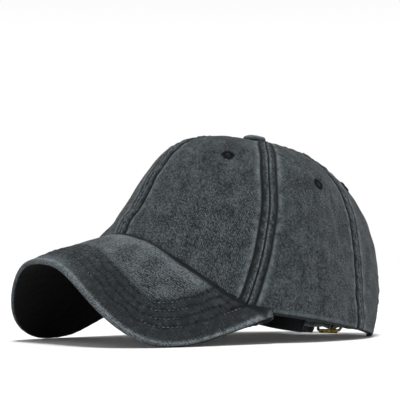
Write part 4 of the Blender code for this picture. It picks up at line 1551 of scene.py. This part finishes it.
        turns = np.linspace(0.0, self.roll_angle, self.roll_rows + 1)[:0:-1, None]
        edge_out = np.concatenate([outward, np.zeros_like(outward[:, :1])], axis=-1)
        edge_out = unit(edge_out - np.sum(edge_out * normals[0], axis=-1, keepdims=True) * normals[0])
        swing = edge_out * np.sin(turns)[..., None] - normals[0] * (1 - np.cos(turns))[..., None]
        cloth = points[..., :2] * (1, -1)
        round_edge = np.concatenate([np.zeros_like(turns), self.roll * turns], axis=-1)[:, None]
        points = np.concatenate([points[0] + self.roll * swing, points])
        points[..., 2] = np.maximum(points[..., 2], self.above_floor)
        roll_wear = np.broadcast_to(0.42 - 0.30 * (turns / pi), (self.roll_rows, self.columns + 1))
        wear = np.concatenate([roll_wear, wear])
        shade = np.concatenate([np.zeros_like(roll_wear), shade])
        sheet.lay(points, np.concatenate([cloth[0] + round_edge, cloth]), wear=wear, shade=shade)
        self.maker.piece(sheet.mesh, "twill", ("bill_top",), cloth=self.layer, finish="bill twill")

    def underside(self) -> None:
        """Builds the dark facing under the bill, just inside the rolled edge."""
        shape = self.shape
        sheet = Sheet("bill_underside_cloth", 220, 70)
        across = np.broadcast_to(2 * sheet.u - 1, (71, 221))
        away = (1 - sheet.v)[:, None] + 0 * across
        plan = self.plan(across, away)
        plan = self.drawn_in(plan, away, self.facing_inset)
        points, normals = shape.on_bill(plan), shape.bill_normal(plan)
        near, along = self.from_edge(points)
        thin = smooth(0.0, 0.15, 1 - np.abs(across))
        inner = np.linalg.norm(plan - plan[-1][None], axis=-1)
        lean = np.minimum(1.0, inner / 0.006) * thin
        down = normals * lean[..., None] + np.array((0.0, 0.0, 1.0)) * (1 - lean)[..., None]
        depth = 2 * shape.bill_cloth + shape.clearance - 0.0009 * swelling(0.0, 0.0016, near)
        ripple = 0.00010 * Ripple(71, 0.006).at(along, 0.4 * near)
        for row in self.edge_rows:
            depth = depth - 0.00025 * swelling(row, 0.0009, near)
        points = points - unit(down) * (depth + ripple)[..., None]
        points[..., 2] = np.maximum(points[..., 2], self.above_floor)
        sheet.lay(points, points[..., :2], wear=0.5 * swelling(0.0006, 0.0010, near))
        sheet.turn_over()
        self.maker.piece(sheet.mesh, "facing", ("bill_underside",), cloth=self.layer)

    def stitched_rows(self) -> None:
        """Sews the rows that run beside the outer edge, up to the crown."""
        shape = self.shape
        run = run_lengths(self.edge)
        for number, row in enumerate(self.edge_rows):
            where = np.linspace(0.0, run[-1], 1200)
            edge = on_line(where, run, self.edge)
            ways = np.gradient(edge, axis=0)
            inward = unit(np.stack([-ways[:, 1], ways[:, 0]], axis=-1))
            start = shape.on_bill(edge)
            reach = np.full(len(edge), row)
            for _ in range(12):
                plan = edge + inward * reach[:, None]
                far = np.linalg.norm(shape.on_bill(plan) - start, axis=-1)
                reach = reach * row / np.maximum(far, 1e-6)
            plan = edge + inward * reach[:, None]
            plan = plan[shape.outside_hem(plan, 0.0015)]
            near, _ = self.from_edge(shape.on_bill(plan))
            plan = plan[near > row - 0.0006]
            line = shape.on_bill(plan) - shape.bill_normal(plan) * self.thread_sink
            self.stitches.sew(line, shape.bill_normal(plan), self.pitch, 80 + number)


@dataclass
class Bindings:
    """The folded strips that bind the ponytail slit and the arch, puckered by their stitching."""

    shape: CapShape
    openings: BackOpenings
    maker: Maker
    stitches: Stitches
    width: float = 0.008
    rise: float = 0.0009
    depth: float = 0.0019
    around: int = 44
    pitch: float = 0.0028
    thread_sink: float = 0.00030

    def strip(
        self, name: str, inner: Array, outer: Array, seed: int, closed: bool
    ) -> tuple[Sheet, Array, Array]:
        """A binding between two outlines.

        Args:
            name: The piece's name.
            inner: Pairs of side and up on the opening's edge.
            outer: Pairs on the binding's outer border.
            seed: Seed of its puckers.
            closed: Whether it is a whole loop.

        Returns:
            The laid sheet, the line of its outer stitches and their normals.
        """
        steps = len(inner) - 1
        sheet = Sheet(name, steps, self.around)
        roll = 2 * pi * sheet.v[:, None]
        square = 0.55
        across = 0.5 - 0.5 * squared(np.cos(roll), square)
        lift = squared(np.sin(roll), square)
        run = run_lengths(np.concatenate([(inner + outer) / 2, np.zeros((len(inner), 1))], axis=-1))
        if closed:
            turn = 2 * pi * run / run[-1]
            radius = run[-1] / (2 * pi)
            loop = (radius * np.cos(turn), radius * np.sin(turn))
        else:
            loop = (run, 0 * run)
        wide = self.width * across
        pucker = Ripple(seed, 0.0064).at(*loop, 0.25 * wide)
        fine = Ripple(seed + 1, 0.0030).at(*loop, 0.5 * wide)
        blotch = Ripple(seed + 4, 0.012).at(*loop, wide)
        wobble = Ripple(seed + 2, 0.011).at(*loop)[None]
        top = np.maximum(lift, 0.0)
        grooves = swelling(0.86, 0.05, across) + 0.7 * swelling(0.17, 0.06, across)
        out = np.where(lift > 0, lift * self.rise, lift * self.depth)
        out = out + top * (0.00021 * pucker + 0.00010 * fine) * (1 - 0.7 * grooves) - 0.00040 * grooves * top
        edge_share = across + 0.07 * wobble * (1 - across) + 0.02 * pucker * across
        side = inner[None, :, 0] + (outer - inner)[None, :, 0] * edge_share
        up = inner[None, :, 1] + (outer - inner)[None, :, 1] * edge_share
        points = self.shape.on_back(side, up, out)
        points[..., 2] = np.maximum(points[..., 2], 0.0002)
        cloth = np.stack(np.broadcast_arrays(run, wide), axis=-1)
        high = smooth(-0.9, 1.5, 0.75 * pucker + 0.55 * blotch)
        wear = top * np.clip(0.06 + 0.42 * high + 0.10 * blotch, 0, 1)
        wear = wear + 0.40 * swelling(0.98, 0.05, across) * (out > -0.0004)
        wear = wear + 0.30 * swelling(0.0, 0.06, across)
        # Painted shade in the pucker hollows, with a blotchy dye tone, and in the two stitch grooves
        shade = top * (0.46 * (1 - high) * np.clip(1 + 0.4 * blotch, 0, 2) + 0.6 * grooves)
        sheet.lay(points, cloth, wear=wear, shade=shade)
        sheet.close()
        middle = inner + (outer - inner) * 0.86
        line = self.shape.on_back(middle[:, 0], middle[:, 1], self.rise - self.thread_sink)
        ahead = np.gradient(line, axis=0)
        beside = self.shape.on_back(outer[:, 0], outer[:, 1]) - line
        normals = unit(np.cross(ahead, beside))
        outward = line - np.array((0.0, self.shape.shift, 0.05))
        normals = normals * np.sign(np.sum(normals * outward, axis=-1, keepdims=True))
        return sheet, line, normals

    def arch(self) -> None:
        """Builds the binding over the arch, from hem to hem, and sews its outer row."""
        half = pi / 2 * np.linspace(0.0, 1.0, 131)
        inner, outer = (self.openings.arch(half, np.array(grow)) for grow in (0.0, self.width))
        inner, outer = (np.concatenate([edge, edge[-2::-1] * (-1, 1)]) for edge in (inner, outer))
        sheet, line, normals = self.strip("arch_binding_cloth", inner, outer, 501, False)
        self.stitches.sew(line, normals, self.pitch, 91)
        self.maker.piece(sheet.mesh, "binding", ("arch_binding",))

    def slit(self) -> None:
        """Builds the binding round the slit, standing on the arch's, and sews its outer row."""
        run = np.linspace(0.0, 1.0, 151)
        inner, outer = (self.openings.slit(run, np.array(grow)) for grow in (0.0, self.width))
        outer[:, 1] = np.maximum(outer[:, 1], self.openings.arch_top + self.shape.clearance)
        inner, outer = (np.concatenate([edge, edge[-2::-1] * (-1, 1), edge[:1]]) for edge in (inner, outer))
        length = run_lengths((inner + outer) / 2)
        places = np.linspace(0.0, length[-1], 321)
        inner, outer = (on_line(places, length, edge) for edge in (inner, outer))
        sheet, line, normals = self.strip("ponytail_slit_binding_cloth", inner, outer, 601, True)
        keep = line[:, 2] > line[:, 2].min() + 0.004
        half = len(line) // 2
        for part in (slice(0, half), slice(half, len(line))):
            self.stitches.sew(line[part][keep[part]], normals[part][keep[part]], self.pitch, 92)
        self.maker.piece(sheet.mesh, "binding", ("ponytail_slit_binding",))


@dataclass
class Sweatband:
    """The cotton band inside the hem, turned down a little below it in front."""

    shape: CapShape
    openings: BackOpenings
    maker: Maker
    height: float = 0.028
    cloth: float = 0.0012
    gap: float = 0.0008
    show: float = 0.0014

    def build(self) -> None:
        """Builds the band, with a stitched lower border and a soft upper edge."""
        shape = self.shape
        lap = self.openings.arch_half_width + self.openings.binding + 4 * shape.clearance
        end = BACK - lap / shape.hem_half_width
        sheet = Sheet("sweatband_cloth", 320, 22)
        angle = np.broadcast_to(end - 2 * end * sheet.u[None, :], (23, 321))
        level = sheet.v[:, None] + 0 * angle
        rise = shape.crown_height - shape.hem_height(angle)
        share = level * self.height / (3 * shape.section(shape.hem_handles, angle) * rise)
        along = angle * 0.088
        depth = shape.panel_cloth + self.gap + 0.6 * self.cloth
        ripple = Ripple(801, 0.016).at(along, 0.3 * self.height * level)
        hem_row = swelling(0.16, 0.035, level) + swelling(0.93, 0.03, level)
        inward = depth + 0.00022 * (ripple + 1) * smooth(0.1, 0.6, level) - 0.00018 * hem_row
        points = shape.crown(angle, share, -inward)
        drop = self.show * np.minimum(shape.hem_height(angle) / shape.corner_height, 1.0)
        low = shape.hem_height(angle) - drop
        points[..., 2] = np.maximum(np.where(level <= 0, low, np.maximum(points[..., 2], low)), 0.0003)
        cloth = np.stack([along, level * self.height], axis=-1)
        sheet.lay(points, cloth, wear=0.35 * swelling(0.0, 0.05, level), shade=0.5 * hem_row)
        self.maker.piece(sheet.mesh, "sweatband", ("sweatband",), cloth=0.9 * self.cloth, offset=0.0)


@dataclass
class StrapAndBuckle:
    """The strap, the wire buckle that it runs through, and the tab that holds the buckle."""

    shape: CapShape
    openings: BackOpenings
    maker: Maker
    stitches: Stitches
    width: float = 0.0185
    cloth: float = 0.0018
    end_lap: float = 0.0058
    bend: float = 0.006
    bend_start: float = 0.0006
    wire: float = 0.001
    middle_bar: float = 0.0009
    spacing: float = 0.0098
    from_middle: float = 0.0165
    corner: float = 0.0022
    tab_cloth: float = 0.0012
    tab_width: float = 0.0145
    tail: float = 0.0065
    binding_depth: float = 0.0018
    pitch: float = 0.0028

    @property
    def bars(self) -> tuple[float, float, float]:
        """The three bars' distances from the middle of the back."""
        return tuple(-self.from_middle + self.spacing * step for step in (1, 0, -1))

    @property
    def bar_depth(self) -> float:
        """Depth of the buckle's wire under the cap's face."""
        return self.binding_depth + self.shape.clearance + self.tab_cloth - 0.5 * self.wire

    @property
    def levels(self) -> tuple[float, float]:
        """The strap's lower and upper edges, up the back."""
        low = 2 * self.wire + 2 * self.shape.clearance
        return low, low + self.width

    @property
    def rails(self) -> tuple[float, float]:
        """Levels of the buckle's lower and upper rails."""
        return self.wire, self.wire + self.width + 2 * (self.wire + 2 * self.shape.clearance)

    def depth(self, side: Array) -> Array:
        """Depth of the strap's middle: behind the first bar, over the middle one, behind the last.

        Args:
            side: Distances from the middle of the back.

        Returns:
            The depth under the cap's face at each.
        """
        gap, half, bars = self.shape.clearance, self.cloth / 2, self.bars
        sewn = self.binding_depth + gap + half
        behind = self.bar_depth + self.wire + gap + half
        over = self.bar_depth - self.wire - gap - half
        tail = self.bar_depth + self.wire + 2 * gap + self.tab_cloth + half
        first = behind + (sewn - behind) * smooth(0.0, 1.0, (side - bars[0] - 2 * self.wire) / self.bend)
        span = self.spacing - 2 * self.wire
        second = over + (behind - over) * smooth(0.0, 1.0, (side - bars[1] - self.wire) / span)
        span = self.spacing - 4.4 * self.wire
        third = over + (tail - over) * smooth(0.0, 1.0, (bars[1] - side - self.bend_start) / span)
        return np.where(side > bars[0], first, np.where(side > bars[1], second, third))

    def strap(self) -> None:
        """Builds the strap and sews a row beside each of its edges."""
        start = self.openings.arch_half_width + self.end_lap
        end = self.bars[2] - self.tail
        sheet = Sheet("strap_cloth", 210, 40)
        low, high = self.levels
        roll = 2 * pi * sheet.v[:, None]
        side = (start + (end - start) * sheet.u)[None, :] + 0 * roll
        square = 0.30
        level = 0.5 - 0.5 * squared(np.cos(roll), square)
        face = squared(np.sin(roll), square)
        pucker = Ripple(901, 0.0050).at(side, 0.006 * level)
        slow = Ripple(902, 0.014).at(side, 0.010 * level)
        rows = swelling(0.12, 0.035, level) + swelling(0.88, 0.035, level)
        half = self.cloth / 2 * (1 + 0.10 * pucker * (1 - rows) - 0.28 * rows)
        step = 1e-4
        turn = np.arctan2(self.depth(side + step) - self.depth(side - step), 2 * step)
        up = low + (high - low) * level + 0.00018 * slow
        out = -self.depth(side) + face * half * np.cos(turn)
        points = self.shape.on_back(side + face * half * np.sin(turn), up, out)
        cloth = np.stack([side + 0 * roll, level * self.width + 0 * side], axis=-1)
        edges = swelling(0.0, 0.05, level) + swelling(1.0, 0.05, level)
        wear = 0.55 * edges + 0.25 * smooth(0.2, 1.4, pucker) * (face > 0)
        # Painted shade along the stitched rows and in the pucker hollows
        shade = 0.45 * rows + 0.28 * smooth(0.2, 1.4, -pucker)
        sheet.lay(points, cloth, wear=wear, shade=shade)
        sheet.close()
        for seed, part in enumerate((0.12, 0.88)):
            places = np.linspace(start - 0.001, self.bars[1] - 0.002, 200)
            rise = np.full(200, low + (high - low) * part)
            line = self.shape.on_back(places, rise, -self.depth(places) + 0.72 * self.cloth / 2)
            normals = unit(self.shape.on_back(places, rise, 0.001) - self.shape.on_back(places, rise))
            self.stitches.sew(line, normals, self.pitch, 95 + seed)
        self.maker.piece(sheet.mesh, "binding", ("strap",))

    def wire_path(self) -> Array:
        """The buckle frame's path, along a rounded rectangle.

        Returns:
            Rows of side, up and the turn of the outward way.
        """
        low, high = self.rails
        bars, corner = self.bars, self.corner
        centres = ((bars[0] - corner, high - corner), (bars[2] + corner, high - corner))
        centres += ((bars[2] + corner, low + corner), (bars[0] - corner, low + corner))
        path = []
        for quarter, (side, up) in enumerate(centres):
            turns = pi / 2 * (quarter + np.linspace(0.0, 1.0, 9))
            bend = [side + corner * np.cos(turns), up + corner * np.sin(turns), turns]
            path.append(np.stack(bend, axis=-1))
            way = np.array([cos(turns[-1]), sin(turns[-1])])
            ahead = np.array(centres[(quarter + 1) % 4]) + corner * way
            between = np.linspace(0.0, 1.0, 14)[1:-1, None]
            straight = path[-1][-1, :2] + (ahead - path[-1][-1, :2]) * between
            path.append(np.concatenate([straight, np.full((len(straight), 1), turns[-1])], axis=-1))
        path = np.concatenate(path)
        closing = path[:1] + np.array([[0.0, 0.0, 2 * pi]])
        return np.concatenate([path, closing])

    def buckle(self) -> None:
        """Builds the bent wire frame with its middle bar."""
        path = self.wire_path()
        sheet = Sheet("buckle_wire", len(path) - 1, 16)
        spin = 2 * pi * sheet.v[:, None]
        away, out = self.wire * np.cos(spin), self.wire * np.sin(spin)
        side = path[None, :, 0] + away * np.cos(path[None, :, 2])
        up = path[None, :, 1] + away * np.sin(path[None, :, 2])
        points = self.shape.on_back(side, up, out - self.bar_depth + 0 * side)
        sheet.lay(points, np.zeros(points.shape[:2] + (2,)))
        sheet.close()
        bar = Sheet("buckle_bar", 24, 16)
        low, high = self.rails
        spin = 2 * pi * bar.v[:, None]
        waist = self.middle_bar * (1 + 0.25 * np.abs(2 * bar.u[None, :] - 1) ** 8)
        side = self.bars[1] - waist * np.cos(spin)
        up = low + (high - low) * bar.u[None, :] + 0 * spin
        points = self.shape.on_back(side, up, waist * np.sin(spin) - self.bar_depth)
        bar.lay(points, np.zeros(points.shape[:2] + (2,)))
        bar.close()
        with sheet.worked() as joined:
            joined.from_mesh(bar.mesh)
            bmesh.ops.holes_fill(joined, edges=joined.edges)
        self.maker.piece(sheet.mesh, "brass", ("buckle",))

    def tab(self) -> None:
        """Builds the tab: a strip folded round the last bar, both ends sewn under the binding."""
        last = self.bars[2]
        end = -(self.openings.arch_half_width + self.end_lap)
        flat = self.binding_depth + self.shape.clearance + self.tab_cloth
        loop = self.wire + self.shape.clearance + self.tab_cloth / 2
        turns = pi * (0.5 - np.linspace(0.0, 1.0, 25))
        fold = np.stack([last + loop * np.cos(turns), -self.bar_depth + loop * np.sin(turns)], axis=-1)
        level = -flat + self.tab_cloth / 2
        upper = np.array([[end, level], [-self.openings.arch_half_width, level]])
        lower = upper[::-1] - (0.0, self.tab_cloth)
        knots = np.concatenate([upper, fold, lower])
        run = run_lengths(knots)
        sheet = Sheet("buckle_tab_cloth", 24, 96)
        where = sheet.v * run[-1]
        path = on_line(where, run, knots)
        middle = sum(self.rails) / 2
        level = (sheet.u[None, :] - 0.5) * self.tab_width + 0 * where[:, None]
        side = path[:, None, 0] + 0 * level
        out = path[:, None, 1] + 0.00010 * Ripple(911, 0.005).at(side, level)
        points = self.shape.on_back(side, middle + level, out)
        cloth = np.stack([where[:, None] + 0 * level, level], axis=-1)
        edges = swelling(0.5, 0.06, np.abs(sheet.u[None, :] - 0.5) + 0 * level)
        rows = swelling(0.36, 0.03, np.abs(sheet.u[None, :] - 0.5) + 0 * level)
        sheet.lay(points, cloth, wear=0.6 * edges, shade=0.4 * rows)
        sheet.turn_over()
        self.maker.piece(sheet.mesh, "binding", ("buckle_tab",), cloth=self.tab_cloth, offset=0.0)


@dataclass
class Studio:
    """A pale floor under soft light, and the camera at the photograph's angle."""

    shape: CapShape
    azimuth: float = radians(52.602)
    elevation: float = radians(-2.600)
    distance: float = 1.000963
    aim_right: float = -0.024886
    aim_up: float = 0.094051
    lens: float = 132.084
    floor: str = "#f4f4f4"
    dome: float = 0.44
    overhead: float = 2.85
    overhead_way: tuple[float, float, float] = (0.22, -0.17, 1.0)

    def build(self) -> None:
        """Sets up the floor, the world, the lights and the camera."""
        self.lay_floor()
        self.light()
        self.aim()

    def lay_floor(self) -> None:
        """Lays a wide, plain, pale floor."""
        flat = bmesh.new()
        bmesh.ops.create_grid(flat, x_segments=2, y_segments=2, size=6.0)
        mesh = bpy.data.meshes.new("floor")
        flat.to_mesh(mesh)
        flat.free()
        material, _, shader = new_material("pale matte studio floor")
        shader.inputs["Base Color"].default_value = linear(self.floor)
        shader.inputs["Roughness"].default_value = 0.8
        mesh.materials.append(material)
        made = bpy.data.objects.new("floor", mesh)
        bpy.context.scene.collection.objects.link(made)

    def light(self) -> None:
        """Lights the cap from a pale sky that is brightest near the horizon, and from straight above."""
        world = bpy.data.worlds.new("studio")
        world.use_nodes = True
        tree = world.node_tree
        way = add_node(tree, "ShaderNodeTexCoord", {}, {}).outputs["Generated"]
        height = add_node(tree, "ShaderNodeSeparateXYZ", {}, {0: way}).outputs["Z"]
        inputs = {"Value": height, "From Min": 0.16, "From Max": 0.55, "To Min": 1.0, "To Max": self.dome}
        strength = add_node(tree, "ShaderNodeMapRange", {}, inputs).outputs[0]
        tree.links.new(strength, tree.nodes["Background"].inputs["Strength"])
        tree.nodes["Background"].inputs["Color"].default_value = linear("#ffffff")
        bpy.context.scene.world = world
        lamp = bpy.data.lights.new("overhead light", "SUN")
        lamp.energy = self.overhead
        lamp.angle = radians(16)
        made = bpy.data.objects.new("overhead light", lamp)
        made.rotation_euler = Vector(self.overhead_way).to_track_quat("Z", "Y").to_euler()
        bpy.context.scene.collection.objects.link(made)

    def aim(self) -> None:
        """Puts the camera where the photograph was taken from, low over the floor."""
        azimuth, elevation = self.azimuth, self.elevation
        level = cos(elevation)
        back = Vector((sin(azimuth) * level, -cos(azimuth) * level, sin(elevation)))
        right = Vector((cos(azimuth), sin(azimuth), 0.0))
        up = back.cross(right)
        target = right * self.aim_right + up * self.aim_up + Vector((0.0, self.shape.shift, 0.0))
        camera = bpy.data.cameras.new("photograph's view")
        camera.lens = self.lens
        camera.sensor_width = 36.0
        camera.clip_start = 0.05
        made = bpy.data.objects.new("camera", camera)
        turn = Matrix((right, up, back)).transposed().to_4x4()
        made.matrix_world = Matrix.Translation(target + back * self.distance) @ turn
        bpy.context.scene.collection.objects.link(made)
        bpy.context.scene.camera = made
        bpy.context.scene.view_settings.view_transform = "Standard"


def make_finishes() -> dict[str, Material]:
    """Builds each finish once.

    Returns:
        The materials by the names that the pieces use.
    """
    finishes = {
        # Garment-dyed cotton twill, stone washed: charcoal with a green-blue cast, mottled, rubbed
        # paler on every raised edge. Real wales lie 0.7 mm apart, drawn at 1.1 mm so that they show.
        "twill": ClothFinish("washed charcoal cotton twill", "#303538", "#4f5659", "#121517", "#666f72"),
        # The same twill, drawn tight over a stiffener: a crisper weave, more flecked where it faded
        "bill twill": ClothFinish(
            "washed charcoal cotton twill, stretched over a stiffener",
            *("#2a2f32", "#4b5255", "#0c0e10", "#6e7579"),
            dark="#1b1f21",
            wale=0.0012,
            weave_contrast=0.32,
            speckle=0.0010,
            speckle_contrast=2.4,
        ),
        # The twill's inner face, darker than the outer: painted shade for the cap's dim inside
        "lining": ClothFinish("twill, inner face", "#1b1d1f", "#292c2e", "#0e1011", "#34383a"),
        # Sulphur-black cotton: a matte, near-black weave
        "facing": ClothFinish(
            "black cotton facing", "#08080a", "#0e0e11", "#040405", "#4a5053", sheen=0.02
        ),
        # Brushed cotton on the skin's side: soft and matte, a little paler than the facing
        "sweatband": ClothFinish(
            "brushed cotton sweatband", "#17181a", "#232527", "#0c0d0e", "#3b3f42", sheen=0.05
        ),
        # Bias-cut twill, folded over the edge: its folds have rubbed to pale grey
        "binding": ClothFinish(
            "folded bias twill",
            *("#2e3334", "#4c5354", "#101314", "#737b79"),
            lean=radians(2),
            cloud=0.007,
        ),
        # Dark embroidery cotton, wound tight: near black, with the pale cloth at the hole's lip
        "eyelet thread": ClothFinish(
            "embroidery thread",
            *("#090a0c", "#131618", "#040506", "#7d8486"),
            wale=0.0007,
            speckle=0.0006,
            sheen=0.02,
            roughness=0.7,
        ),
        # Sewing thread that took the dye unevenly: mostly cloth grey, with pale flecks
        "thread": ThreadFinish("dyed sewing thread", "#2f3538", "#747b7e"),
        # Polyester thread, which takes no cotton dye: it stays the palest thing on the cap
        "topstitch": ThreadFinish("pale topstitch thread", "#7f8683", "#aab0ac"),
        # Brass plate blackened with oxide, then buffed: olive-gold metal with dark blotches
        "brass": BrassFinish(),
    }
    return {name: finish.material() for name, finish in finishes.items()}


def main() -> None:
    """Builds the cap's pieces in the order they are sewn, then the studio."""
    shape = CapShape()
    openings = BackOpenings(shape)
    maker = Maker(make_finishes())
    seams = Stitches("seam_stitches", length=0.0019, radius=0.00018)
    pale = Stitches("topstitch_stitches", length=0.0024, radius=0.00034)
    rows = Stitches("bill_stitches", length=0.0020, radius=0.00026)

    panels = CrownPanels(shape, openings, SeamBand(), maker, seams)
    for hand in Hand:
        for place in Place:
            panels.panel(place, hand)
    panels.seam_lines()
    Eyelets(panels).build()
    Button(shape, maker).build()

    bill = Bill(shape, maker, rows)
    bill.top()
    bill.underside()
    bill.stitched_rows()

    bindings = Bindings(shape, openings, maker, pale)
    bindings.arch()
    bindings.slit()
    Sweatband(shape, openings, maker).build()
    closure = StrapAndBuckle(shape, openings, maker, pale)
    closure.strap()
    closure.buckle()
    closure.tab()

    maker.piece(seams.mesh(), "thread")
    maker.piece(rows.mesh(), "thread")
    maker.piece(pale.mesh(), "thread", finish="topstitch")
    Studio(shape).build()


if __name__ == "__main__":
    main()
